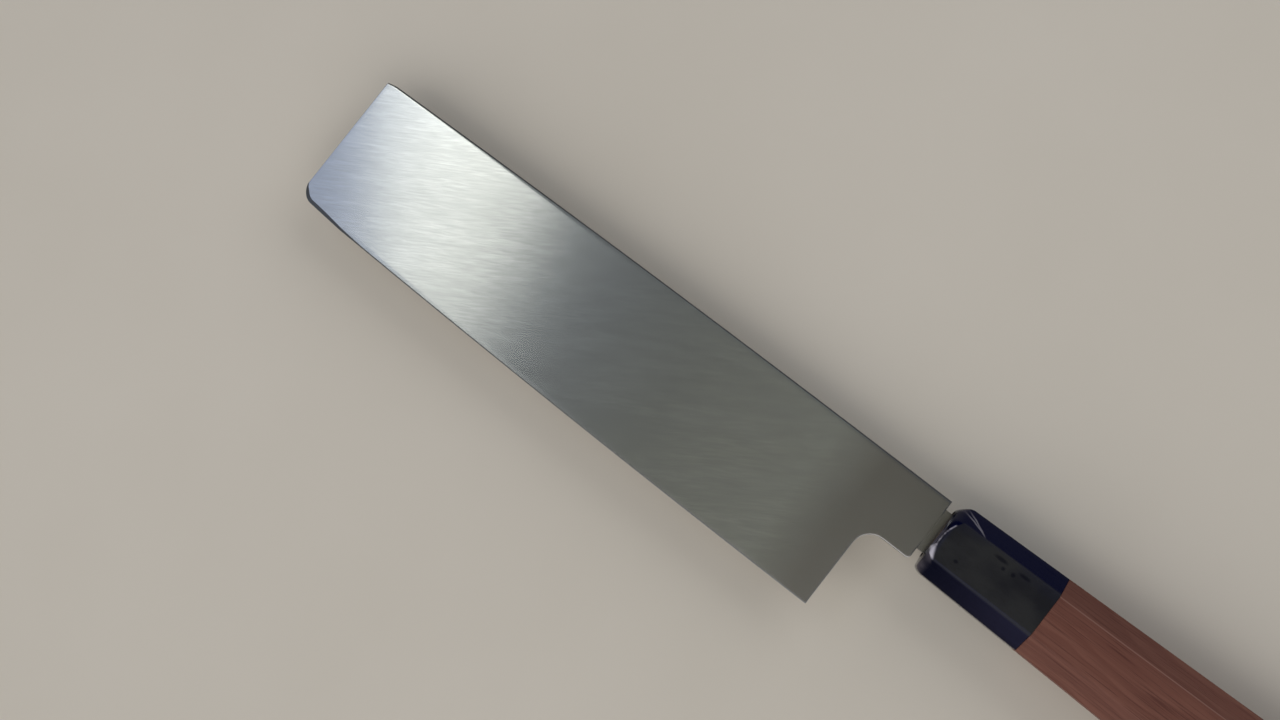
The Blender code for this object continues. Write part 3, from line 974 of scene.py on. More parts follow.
    def ridge(self, station: float) -> float:
        """Level of the line between bevel and flat at a station."""
        return self.edge(station) + (self.thickness(station) - self.edge_land) / math.tan(self.bevel_angle)

    def corner_centre(self) -> Point:
        """Centre of the rounded corner between front and edge."""
        centre = self.tip + self.corner_radius
        return centre, self.edge(centre) + self.corner_radius

    def rim(self, station: float) -> float:
        """Width of the dressed rim along the edge: wide at the tip's corner, thin beyond."""
        fade = ease((station - self.tip - self.corner_radius) / self.rim_fade)
        return mix(self.corner_rim, self.edge_rim, fade)

    def weld_line(self, station: float) -> float:
        """Distance of the weld line from the edge: it wanders, as a forged line does."""
        along = station - self.tip
        wave = sum(share * math.sin(along * rate + start) for share, rate, start in self.weld_waves)
        first, length = self.weld_run_in
        return self.weld_offset + self.weld_wander * wave / 2 * ease((along - first) / length)

    def weld_z(self, station: float) -> float:
        """Height of the weld between the two steels at a station."""
        return PLACE.ura_z - self.edge_land - self.weld_line(station) * math.tan(self.bevel_angle)

    def hollow(self, station: float, level: float) -> float:
        """Depth of the hollow face at a point.

        Args:
            station: Station of the point.
            level: Level of the point.

        Returns:
            Depth below the flat rims.
        """
        edge_rim, spine_rim, tip_rim, heel_rim = self.hollow_rims
        tip_run, heel_run = self.hollow_run_outs
        from_tip = (station - self.tip - tip_rim) / tip_run
        from_heel = (self.heel - heel_rim - station) / heel_run
        fullness = ease(min(from_tip, from_heel))
        low = self.edge(station) + edge_rim
        high = self.spine(station) - spine_rim
        across = min(max((level - low) / (high - low), 0.0), 1.0)
        return self.hollow_depth * fullness * arch(across)

    def under_z(self, station: float, level: float) -> float:
        """Height of the ground side, bevel and flat, at a point.

        Args:
            station: Station of the point.
            level: Level of the point.

        Returns:
            Height of the lower surface.
        """
        bevel = self.edge_land + max(level - self.edge(station), 0.0) * math.tan(self.bevel_angle)
        if station > self.heel:
            bevel = self.thickness(station)
        return PLACE.ura_z - min(self.thickness(station), bevel)


@dataclass
class GroundSheet:
    """Points of the blade's plan and the quads between them, shared by both sides of a piece.

    Attributes:
        points: Station and level of each point.
        quads: Corner numbers of each quad.
        rows: Row number of each point, for telling the bevel from the flat.
    """

    points: list[Point] = field(default_factory=list)
    quads: list[tuple[int, int, int, int]] = field(default_factory=list)
    rows: list[int] = field(default_factory=list)

    def add(self, station: float, level: float, row: int) -> int:
        """Adds a point.

        Args:
            station: Station of the point.
            level: Level of the point.
            row: Its row.

        Returns:
            Number of the point.
        """
        self.points.append((station, level))
        self.rows.append(row)
        return len(self.points) - 1

    def weave(self, lines: Lines) -> None:
        """Fills quads between lines of point numbers, each next to the one before."""
        for line, following in zip(lines, lines[1:]):
            for k in range(len(line) - 1):
                self.quads.append((line[k], following[k], following[k + 1], line[k + 1]))


@dataclass(frozen=True)
class RowPlan:
    """Rows of points across the blade, from the cutting edge to the spine.

    Attributes:
        corner: Rows from the edge's rim to the weld line; they end round the tip's corner.
        bevel: Rows from the weld line to the ridge.
        flat: Rows from the ridge to the level where the chin starts.
        neck: Shares of the way from the neck's lower side to the tang, close together at first.
        tang: Rows across the tang.
        shoulder: Rows from the tang to the eased spine.
        spine: Rows round the eased spine.
    """

    corner: int = 12
    bevel: int = 9
    flat: int = 6
    neck: tuple[float, ...] = (0.0, 0.0035, 0.009, 0.018, 0.06, 0.14, 0.26, 0.4, 0.55, 0.7, 0.85, 1.0)
    tang: int = 10
    shoulder: int = 3
    spine: int = 6

    @property
    def weld(self) -> int:
        """Row on the weld line."""
        return self.corner

    @property
    def ridge(self) -> int:
        """Row on the line between bevel and flat."""
        return self.weld + self.bevel

    @property
    def chin(self) -> int:
        """Row at the level where the chin starts."""
        return self.ridge + self.flat

    @property
    def tang_lower(self) -> int:
        """Row on the tang's lower side."""
        return self.chin + len(self.neck) - 1

    @property
    def tang_upper(self) -> int:
        """Row on the tang's upper side."""
        return self.tang_lower + self.tang

    @property
    def eased(self) -> int:
        """Row at which the eased spine starts."""
        return self.tang_upper + self.shoulder

    @property
    def last(self) -> int:
        """Row on the spine itself."""
        return self.eased + self.spine


@dataclass
class BladePlan:
    """The blade seen square on: a net of points that follows its outline and its ground lines.

    Attributes:
        shape: The blade's sizes.
        rows: Its rows.
        columns: Columns along the blade behind the tip.
        tip_columns: Columns that straighten out behind the tip's corner.
        tip_zone: Length over which they do.
        heel_steps: Distances of the last columns from the heel's back.
        strip: Shares of the rim's width at which its lines lie, from the outline inward.
        front_strip: Width of the strip along the front, where there is no rim.
        ease_radius: Radius of the eased outer edges.
        spine_ease: Radius of the eased spine.
        ease_share: Most of the thickness that an eased edge takes.
        strip_turn: Angle on the tip's corner at which the rim starts to narrow to the front's strip, and
            the angle over which it does.
        chin_steps: Columns round the chin.
        neck_steps: Columns along the neck.
        neck_corner_steps: Columns round the neck's corner.
        tang_steps: Columns along the tang.
        tang_end_steps: Columns along its pointed end.
        tang_end_share: Share of the tang's width that is left at the very end.
        tang_start: From the shoulder to the tang's first column.
    """

    shape: BladeShape
    rows: RowPlan = RowPlan()
    columns: int = 96
    tip_columns: int = 14
    tip_zone: float = 0.014
    heel_steps: tuple[float, ...] = (0.0006, 0.00015, 0.00008, 0.00003, 0.0)
    strip: tuple[float, ...] = (0.0, 0.03, 0.08, 0.16, 0.4, 0.7)
    front_strip: float = 0.0002
    ease_radius: float = 0.00016
    spine_ease: float = 0.00055
    ease_share: float = 0.35
    strip_turn: Point = (math.radians(48), math.radians(40))
    chin_steps: int = 14
    neck_steps: int = 7
    neck_corner_steps: int = 6
    tang_steps: int = 24
    tang_end_steps: int = 4
    tang_end_share: float = 0.5
    tang_start: float = 0.00002

    def corner_turn(self, row: int) -> float:
        """Angle on the tip's corner at which a row starts, from the edge side."""
        return QUARTER_TURN * row / self.rows.weld

    def level(self, station: float, row: int) -> float:
        """Level of a row at a station of the blade.

        Args:
            station: Station.
            row: Row.

        Returns:
            Level.
        """
        shape, rows = self.shape, self.rows
        edge, ridge = shape.edge(station), shape.ridge(station)
        chin = shape.neck_level - shape.chin_radius
        if row <= rows.weld:
            rim, weld = shape.rim(station), shape.weld_line(station)
            return edge + mix(rim, weld, 1 - math.cos(self.corner_turn(row)))
        if row <= rows.ridge:
            return mix(edge + shape.weld_line(station), ridge, (row - rows.weld) / rows.bevel)
        if row <= rows.chin:
            return mix(ridge, chin, (row - rows.ridge) / rows.flat)
        return self.upper_level(station, row, chin)

    def upper_level(self, station: float, row: int, low: float) -> float:
        """Level of a row above the chin, where blade and neck share their rows.

        Args:
            station: Station.
            row: Row.
            low: Level of the lowest of these rows.

        Returns:
            Level.
        """
        shape, rows = self.shape, self.rows
        spine = shape.spine(station)
        if row <= rows.tang_lower:
            return mix(low, shape.tang_lower, rows.neck[row - rows.chin])
        if row <= rows.tang_upper:
            return mix(shape.tang_lower, shape.tang_upper, (row - rows.tang_lower) / rows.tang)
        eased = spine - self.spine_ease
        if row <= rows.eased:
            return mix(shape.tang_upper, eased, (row - rows.tang_upper) / rows.shoulder)
        return eased + self.spine_ease * math.sin(QUARTER_TURN * (row - rows.eased) / rows.spine)

    def front_point(self, row: int, share: float) -> Point:
        """Point on the front or round the tip's corner, at a share of the strip's width from the outline.

        Args:
            row: Row that starts there.
            share: Share of the strip's width, which the rim's taper narrows toward the front.

        Returns:
            Station and level.
        """
        shape = self.shape
        turn = self.corner_turn(row)
        start, length = self.strip_turn
        inset = share * mix(shape.corner_rim, self.front_strip, ease((turn - start) / length))
        if row >= self.rows.weld:
            return shape.tip + inset, self.level(shape.tip + inset, row)
        centre = shape.corner_centre()
        radius = shape.corner_radius - inset
        return centre[0] - radius * math.sin(turn), centre[1] - radius * math.cos(turn)

    def blade_stations(self) -> list[float]:
        """Stations of the straight columns behind the tip zone."""
        shape = self.shape
        first = shape.tip + self.tip_zone
        last = shape.heel - self.heel_steps[0]
        return [*steps(first, last, self.columns)[1:], *(shape.heel - step for step in self.heel_steps[1:])]

    def neck_columns(self) -> list[Point]:
        """Stations of the neck's columns and the level of its lower side at each."""
        shape = self.shape
        chin_station = shape.heel + shape.chin_radius
        chin_level = shape.neck_level - shape.chin_radius
        corner_station = shape.shoulder - shape.neck_corner
        columns = []
        for turn in steps(0.0, QUARTER_TURN, self.chin_steps)[1:]:
            columns.append((chin_station - shape.chin_radius * math.cos(turn),
                            chin_level + shape.chin_radius * math.sin(turn)))
        for station in steps(chin_station, corner_station, self.neck_steps)[1:]:
            columns.append((station, shape.neck_level))
        for turn in steps(0.0, QUARTER_TURN, self.neck_corner_steps)[1:]:
            columns.append((corner_station + shape.neck_corner * math.sin(turn),
                            shape.neck_level + shape.neck_corner * (1 - math.cos(turn))))
        return columns

    def blade_lines(self, sheet: GroundSheet, first: int) -> Lines:
        """Adds the blade's inner net, column by column.

        Args:
            sheet: Sheet that takes the points.
            first: Lowest row that is wanted.

        Returns:
            Point numbers of each column.
        """
        shape, wanted = self.shape, range(first, self.rows.last + 1)
        starts = {row: self.front_point(row, 1.0) for row in wanted}
        lines = [[sheet.add(*starts[row], row) for row in wanted]]
        straight = shape.tip + self.tip_zone
        for share in shares(self.tip_columns)[1:]:
            column = []
            for row in wanted:
                station = mix(starts[row][0], straight, share)
                column.append(sheet.add(station, self.level(station, row), row))
            lines.append(column)
        for station in self.blade_stations():
            lines.append([sheet.add(station, self.level(station, row), row) for row in wanted])
        return lines

    def strip_lines(self, sheet: GroundSheet, inner: Lines, first: int) -> Lines:
        """Adds the lines of the rim, from the outline inward, and joins them to the inner net.

        Args:
            sheet: Sheet that takes the points.
            inner: Columns of the inner net.
            first: Lowest row that is wanted.

        Returns:
            Point numbers of each line; the last is the inner net's own border.
        """
        shape, rows = self.shape, self.rows
        front_rows = list(range(rows.last, first - 1, -1))
        along_edge = inner[1:] if first == 0 else []
        lines = []
        for share in self.strip:
            line = []
            for row in front_rows:
                line.append(sheet.add(*self.front_point(row, share), row))
            for column in along_edge:
                station = sheet.points[column[0]][0]
                line.append(sheet.add(station, shape.edge(station) + shape.rim(station) * share, 0))
            lines.append(line)
        border = list(reversed(inner[0])) + [column[0] for column in along_edge]
        return [*lines, border]

    def neck_lines(self, sheet: GroundSheet, heel: list[int]) -> Lines:
        """Adds the neck's net behind the heel's column.

        Args:
            sheet: Sheet that takes the points.
            heel: The part of the heel's column above the chin.

        Returns:
            Point numbers of each column, the heel's first.
        """
        lines = [heel]
        wanted = range(self.rows.chin, self.rows.last + 1)
        for station, low in self.neck_columns():
            lines.append([sheet.add(station, self.upper_level(station, row, low), row) for row in wanted])
        return lines

    def tang_lines(self, sheet: GroundSheet, shoulder: list[int]) -> Lines:
        """Adds the tang's net behind the shoulder's column.

        Args:
            sheet: Sheet that takes the points.
            shoulder: The part of the shoulder's column between the tang's two sides.

        Returns:
            Point numbers of each column, the shoulder's first.
        """
        shape, rows = self.shape, self.rows
        middle = (shape.tang_upper + shape.tang_lower) / 2
        run = shape.tang_length - shape.tang_end_point
        columns = [(share * run + self.tang_start, mix(shape.tang_width, shape.tang_end_width, share) / 2)
                   for share in shares(self.tang_steps)]
        for share in shares(self.tang_end_steps)[1:]:
            rounded = math.sqrt(1 - (1 - self.tang_end_share ** 2) * share * share)
            columns.append((run + share * shape.tang_end_point, shape.tang_end_width / 2 * rounded))
        lines = [shoulder]
        for offset, half in columns:
            station = shape.shoulder + offset
            lines.append([sheet.add(station, middle + half * side, rows.tang_lower)
                          for side in steps(-1.0, 1.0, rows.tang)])
        return lines

    def outline_distance(self, points: np.ndarray) -> np.ndarray:
        """Distance of points from the front, the heel's back, the chin, the neck and the shoulders.

        Args:
            points: Stations and levels, one row for each point.

        Returns:
            Distance of each point.
        """
        shape = self.shape
        centre = shape.corner_centre()
        chin = shape.neck_level - shape.chin_radius
        neck = [(shape.heel, shape.heel_level), (shape.heel, chin), *self.neck_columns(),
                (shape.shoulder, shape.tang_lower)]
        runs = (
            [(shape.tip, centre[1]), (shape.tip, shape.spine(shape.tip))],
            neck,
            [(shape.shoulder, shape.tang_upper), (shape.shoulder, 0.0)],
        )
        nearest = np.full(len(points), np.inf)
        for run in runs:
            for start, end in zip(run, run[1:]):
                origin, along = np.array(start), np.subtract(end, start)
                share = np.clip((points - origin) @ along / (along @ along), 0.0, 1.0)
                reach = np.hypot(*(points - origin - share[:, None] * along).T)
                nearest = np.minimum(nearest, reach)
        return nearest

    def easing(self, sheet: GroundSheet) -> np.ndarray:
        """How far the eased outer edges drop at each point of a sheet.

        Args:
            sheet: The sheet.

        Returns:
            Drop of each point.
        """
        points = np.array(sheet.points)
        spines = np.array([self.shape.spine(station) for station in points[:, 0]])
        thick = np.array([PLACE.ura_z - self.shape.under_z(*point) for point in sheet.points])
        drops = np.zeros(len(points))
        for distance, radius in ((self.outline_distance(points), self.ease_radius),
                                 (spines - points[:, 1], self.spine_ease)):
            inside = np.clip(radius - distance, 0.0, radius)
            drops = np.maximum(drops, radius - np.sqrt(radius * radius - inside * inside))
        return np.minimum(drops, self.ease_share * thick)


@dataclass
class RaisedSheet:
    """A closed solid between an upper and a lower surface over one sheet of points.

    Attributes:
        name: Name of the object.
        sheet: Its points and quads.
        tops: Height of the upper surface at each point.
        unders: Height of the lower surface at each point.
        finishes: Finish of each ground surface.
        regions: Which ground surface the underside of a quad is, by its lowest row and station.
        rim: Points of the dressed rim on the upper side.
        upper_creases: Lines of points that stay crisp on the upper side.
        lower_creases: Lines of points that stay crisp on the lower side.
    """

    name: str
    sheet: GroundSheet
    tops: list[float]
    unders: list[float]
    finishes: dict[Region, SteelFinish]
    regions: Callable[[int, float], Region]
    rim: frozenset[int] = frozenset()
    upper_creases: Lines = field(default_factory=list)
    lower_creases: Lines = field(default_factory=list)

    def vertices(self, solid: bmesh.types.BMesh) -> tuple[Vertices, Vertices]:
        """Adds the vertices of both sides; where the sides meet in an edge they share them.

        Args:
            solid: Mesh that takes them.

        Returns:
            Upper and lower vertices by point number.
        """
        upper, lower = [], []
        for (station, level), top, under in zip(self.sheet.points, self.tops, self.unders):
            upper.append(solid.verts.new(PLACE.point(station, level, top)))
            meets = top - under < NEARLY_ZERO
            lower.append(upper[-1] if meets else solid.verts.new(PLACE.point(station, level, under)))
        return upper, lower

    def polish(self, face: bmesh.types.BMFace, layer: bmesh.types.BMLayerItem) -> None:
        """Lays the polish map on a face: across the scratches first, then along them.

        Args:
            face: The face.
            layer: Map to fill.
        """
        region = Region(face.material_index)
        turn = math.radians(self.finishes[region].scratch_angle)
        along = Vector((math.cos(turn), math.sin(turn), 0.0))
        across = Vector((-math.sin(turn), math.cos(turn), 0.0))
        if region is Region.SIDE:
            along = face.normal.cross(Vector((0.0, 0.0, 1.0))).normalized()
            across = Vector((0.0, 0.0, 1.0))
        for loop in face.loops:
            loop[layer].uv = (loop.vert.co.dot(across), loop.vert.co.dot(along))

    def crease(self, solid: bmesh.types.BMesh, verts: Vertices, lines: Lines) -> None:
        """Marks the edges along lines of points as crisp.

        Args:
            solid: The mesh.
            verts: Vertices of that side by point number.
            lines: Lines of point numbers.
        """
        for line in lines:
            for first, second in zip(line, line[1:]):
                edge = solid.edges.get((verts[first], verts[second]))
                if edge:
                    edge.smooth = False

    def build(self) -> bpy.types.Object:
        """Makes the object, with its faces told apart by region."""
        solid = bmesh.new()
        layer = solid.loops.layers.uv.new(POLISH_MAP)
        upper, lower = self.vertices(solid)
        borders: dict[frozenset[int], int] = {}
        for quad in self.sheet.quads:
            row = min(self.sheet.rows[k] for k in quad)
            station = min(self.sheet.points[k][0] for k in quad)
            above = solid.faces.new([upper[k] for k in quad])
            above.material_index = (Region.RIM if self.rim.issuperset(quad) else Region.URA).value
            below = solid.faces.new([lower[k] for k in reversed(quad)])
            below.material_index = self.regions(row, station).value
            for pair in zip(quad, quad[1:] + quad[:1]):
                borders[frozenset(pair)] = borders.get(frozenset(pair), 0) + 1
        for first, second in (tuple(pair) for pair, uses in borders.items() if uses == 1):
            corners = dict.fromkeys((upper[first], upper[second], lower[second], lower[first]))
            if len(corners) > 2:
                solid.faces.new(list(corners)).material_index = Region.SIDE.value
        shade_smooth(solid)
        for face in solid.faces:
            self.polish(face, layer)
        self.crease(solid, upper, self.upper_creases)
        self.crease(solid, lower, self.lower_creases)
        return release(self.name, solid, self.dress(solid))

    def dress(self, solid: bmesh.types.BMesh) -> list[bpy.types.Material]:
        """Numbers the faces by the materials of the regions that there are, and no others.

        Args:
            solid: The modelled faces, which hold region numbers.

        Returns:
            Those materials.
        """
        used = sorted({face.material_index for face in solid.faces})
        for face in solid.faces:
            face.material_index = used.index(face.material_index)
        return [steel_material(self.finishes[Region(number)]) for number in used]


@dataclass
class Blade:
    """The laminated blade: a hard layer that is the whole hollow face, and the soft body under it.

    Attributes:
        shape: Outline and section.
        plan: Net of points over it.
        ura: Finish of the hollow face.
        hard_bevel: Finish of the hard steel on the bevel.
        soft_bevel: Finish of the soft steel on the bevel.
        flat: Finish of the flat of the ground side.
        rim: Finish of the dressed rim along the edge.
        spine: Finish of the spine and the other sides.
        tang: Finish of the tang.
        rim_share: Most of the edge's thickness that the dressed rim takes.
        rim_turn: Angle on the tip's corner at which the rim starts to fade, and the angle over which it
            does.
    """

    shape: BladeShape
    plan: BladePlan
    ura: SteelFinish
    hard_bevel: SteelFinish
    soft_bevel: SteelFinish
    flat: SteelFinish
    rim: SteelFinish
    spine: SteelFinish
    tang: SteelFinish
    rim_share: float = 0.55
    rim_turn: Point = (math.radians(60), math.radians(28))

    def finishes(self, bevel: SteelFinish) -> dict[Region, SteelFinish]:
        """Finish of each region of a steel with the given bevel."""
        return {
            Region.URA: self.ura,
            Region.RIM: self.rim,
            Region.BEVEL: bevel,
            Region.FLAT: self.flat,
            Region.SIDE: self.spine,
            Region.TANG: self.tang,
        }

    def rim_drop(self, row: int, station: float, share: float) -> float:
        """How far the dressed rim drops at a point of its strip.

        Args:
            row: Row of the point on the corner, or 0 along the edge.
            station: Station of the point.
            share: Share of the rim's width from the outline inward.

        Returns:
            Drop below the hollow face's plane.
        """
        turn = self.plan.corner_turn(row)
        height = self.shape.corner_radius * (1 - math.cos(turn))
        thick = self.shape.edge_land + height * math.tan(self.shape.bevel_angle)
        full = min(self.shape.rim(station) * math.tan(self.shape.rim_angle), self.rim_share * thick)
        start, length = self.rim_turn
        return full * (1 - ease((turn - start) / length)) * (1 - share)

    def hard_layer(self) -> bpy.types.Object:
        """Builds the hard layer, from the front to the shoulder."""
        shape, plan, sheet = self.shape, self.plan, GroundSheet()
        columns = plan.blade_lines(sheet, 0)
        sheet.weave(columns)
        strip = plan.strip_lines(sheet, columns, 0)
        sheet.weave(strip)
        sheet.weave(plan.neck_lines(sheet, columns[-1][plan.rows.chin:]))
        drops = plan.easing(sheet)
        rim = set(strip[-1])
        for number, ((station, _), row) in enumerate(zip(sheet.points, sheet.rows)):
            if drops[number] > 0 and (station > shape.heel or row > plan.rows.eased):
                rim.add(number)
        front_count = plan.rows.last + 1
        for share, line in zip(plan.strip, strip):
            for place, number in enumerate(line):
                row = max(plan.rows.last - place, 0) if place < front_count else 0
                if row < plan.rows.weld:
                    drops[number] = self.rim_drop(row, sheet.points[number][0], share)
                    rim.add(number)
        tops, unders = [], []
        for (station, level), row, drop in zip(sheet.points, sheet.rows, drops):
            tops.append(PLACE.ura_z - shape.hollow(station, level) - drop)
            ground = shape.under_z(station, level)
            unders.append(ground if row < plan.rows.weld else shape.weld_z(station))
        rim_border = strip[-1][plan.rows.last - plan.rows.weld:]
        weld = [column[plan.rows.weld] for column in columns]
        return RaisedSheet("hard_layer", sheet, tops, unders, self.finishes(self.hard_bevel),
                           lambda row, station: Region.BEVEL, frozenset(rim), [rim_border], [weld]).build()

    def soft_region(self, row: int, station: float) -> Region:
        """Ground surface of the soft body's underside at a row and a station."""
        if station >= self.shape.shoulder:
            return Region.TANG
        if row < self.plan.rows.ridge and station < self.shape.heel:
            return Region.BEVEL
        return Region.FLAT

    def soft_body(self) -> bpy.types.Object:
        """Builds the soft body, with the neck, the shoulders and the tang."""
        shape, plan, rows, sheet = self.shape, self.plan, self.plan.rows, GroundSheet()
        columns = plan.blade_lines(sheet, rows.weld)
        sheet.weave(columns)
        sheet.weave(plan.strip_lines(sheet, columns, rows.weld))
        necks = plan.neck_lines(sheet, columns[-1][rows.chin - rows.weld:])
        sheet.weave(necks)
        tang_rows = slice(rows.tang_lower - rows.chin, rows.tang_upper - rows.chin + 1)
        sheet.weave(plan.tang_lines(sheet, necks[-1][tang_rows]))
        tops, unders = [], []
        for (station, level), row, drop in zip(sheet.points, sheet.rows, plan.easing(sheet)):
            if station > shape.shoulder:
                tops.append(PLACE.ura_z)
                unders.append(shape.under_z(station, level))
                continue
            weld = shape.weld_z(station)
            tops.append(weld)
            unders.append(weld if row == rows.weld else shape.under_z(station, level) + drop)
        ridge = [column[rows.ridge - rows.weld] for column in columns]
        return RaisedSheet("soft_body", sheet, tops, unders, self.finishes(self.soft_bevel),
                           self.soft_region, lower_creases=[ridge]).build()

    def build(self) -> None:
        """Builds both steels and lets them stand for their solids."""
        install(self.hard_layer(), "hagane")
        install(self.soft_body(), "jigane")


@dataclass(frozen=True)
class Octagon:
    """Section of the handle.

    Attributes:
        width: Across the blade's plane.
        thickness: Square to it.
        broad_facet: Width of the upper and lower facets.
        narrow_facet: Width of the facets toward spine and edge.
    """

    width: float
    thickness: float
    broad_facet: float
    narrow_facet: float

    def toward(self, other: "Octagon", share: float) -> "Octagon":
        """The section a share of the way to another one."""
        return Octagon(
            mix(self.width, other.width, share),
            mix(self.thickness, other.thickness, share),
            mix(self.broad_facet, other.broad_facet, share),
            mix(self.narrow_facet, other.narrow_facet, share),
        )

    def corners(self) -> list[Point]:
        """The eight corners, as offsets in level and height."""
        width, thickness = self.width / 2, self.thickness / 2
        broad, narrow = self.broad_facet / 2, self.narrow_facet / 2
        return [
            (broad, thickness), (width, narrow), (width, -narrow), (broad, -thickness),
            (-broad, -thickness), (-width, -narrow), (-width, narrow), (-broad, thickness),
        ]


@dataclass(frozen=True)
class OctagonRing:
    """How a ring of points goes round an octagon: softly broken edges and plain facets between.

    Attributes:
        edge_break: Distance from the corner at which a facet ends.
        facet_steps: Steps across a facet.
        corner_steps: Steps round a broken edge.
    """

    edge_break: float = 0.00025
    facet_steps: int = 5
    corner_steps: int = 6

    def offsets(self, section: Octagon, inset: float = 0.0, spine_inset: float = 0.0) -> list[Point]:
        """Offsets of the ring's points from the handle's axis.

        Args:
            section: Section of the handle.
            inset: How far the ring is drawn in.
            spine_inset: How far it is drawn in on the spine side, if that is more.

        Returns:
            Offsets in level and height.
        """
        corners = section.corners()
        shrink_z = 1 - 2 * inset / section.thickness
        shrink_edge = 1 - 2 * inset / section.width
        shrink_spine = 1 - 2 * max(inset, spine_inset) / section.width
        ring: list[Point] = []
        for k, corner in enumerate(corners):
            before, after = corners[k - 1], corners[(k + 1) % len(corners)]
            start = self.short_of(corner, before)
            end = self.short_of(corner, after)
            for share in shares(self.corner_steps):
                pull = 2 * share * (1 - share)
                weights = ((1 - share) ** 2, pull, share ** 2)
                ring.append(tuple(sum(w * p[axis] for w, p in zip(weights, (start, corner, end)))
                                  for axis in range(2)))
            far = self.short_of(after, corner)
            for share in shares(self.facet_steps)[1:-1]:
                ring.append((mix(end[0], far[0], share), mix(end[1], far[1], share)))
        return [(level * (shrink_spine if level > 0 else shrink_edge), z * shrink_z) for level, z in ring]

    def short_of(self, corner: Point, neighbour: Point) -> Point:
        """Point on a facet just short of its corner."""
        share = self.edge_break / math.dist(corner, neighbour)
        return mix(corner[0], neighbour[0], share), mix(corner[1], neighbour[1], share)

    def directions(self, section: Octagon) -> list[float]:
        """Angle of each point about the axis, for the rings of bores that join it."""
        return [math.atan2(z, level) for level, z in self.offsets(section)]


class Turning:
    """A solid made of rings of equal counts, for handle pieces and their bores."""

    def __init__(self, name: str) -> None:
        """Starts an empty solid.

        Args:
            name: Name of the object.
        """
        self.name = name
        self.rings: list[list[Vector]] = []

    def add(self, station: float, level: float, offsets: list[Point]) -> None:
        """Adds a ring whose middle is as high as the handle's axis.

        Args:
            station: Station of the ring.
            level: Level of its middle.
            offsets: Offsets of its points in level and height.
        """
        z = PLACE.handle_z
        self.rings.append([PLACE.point(station, level + across, z + up) for across, up in offsets])

    def build(self, closed: bool, material: bpy.types.Material) -> bpy.types.Object:
        """Joins the rings.

        Args:
            closed: Whether the last ring joins the first; otherwise both ends are capped.
            material: Material of the solid.

        Returns:
            The object.
        """
        solid = bmesh.new()
        rows = [[solid.verts.new(point) for point in ring] for ring in self.rings]
        pairs = list(zip(rows, rows[1:]))
        if closed:
            pairs.append((rows[-1], rows[0]))
        else:
            solid.faces.new(rows[0])
            solid.faces.new(rows[-1])
        count = len(rows[0])
        for row, following in pairs:
            for k in range(count):
                after = (k + 1) % count
                solid.faces.new((row[k], row[after], following[after], following[k]))
        shade_smooth(solid)
        return release(self.name, solid, [material])


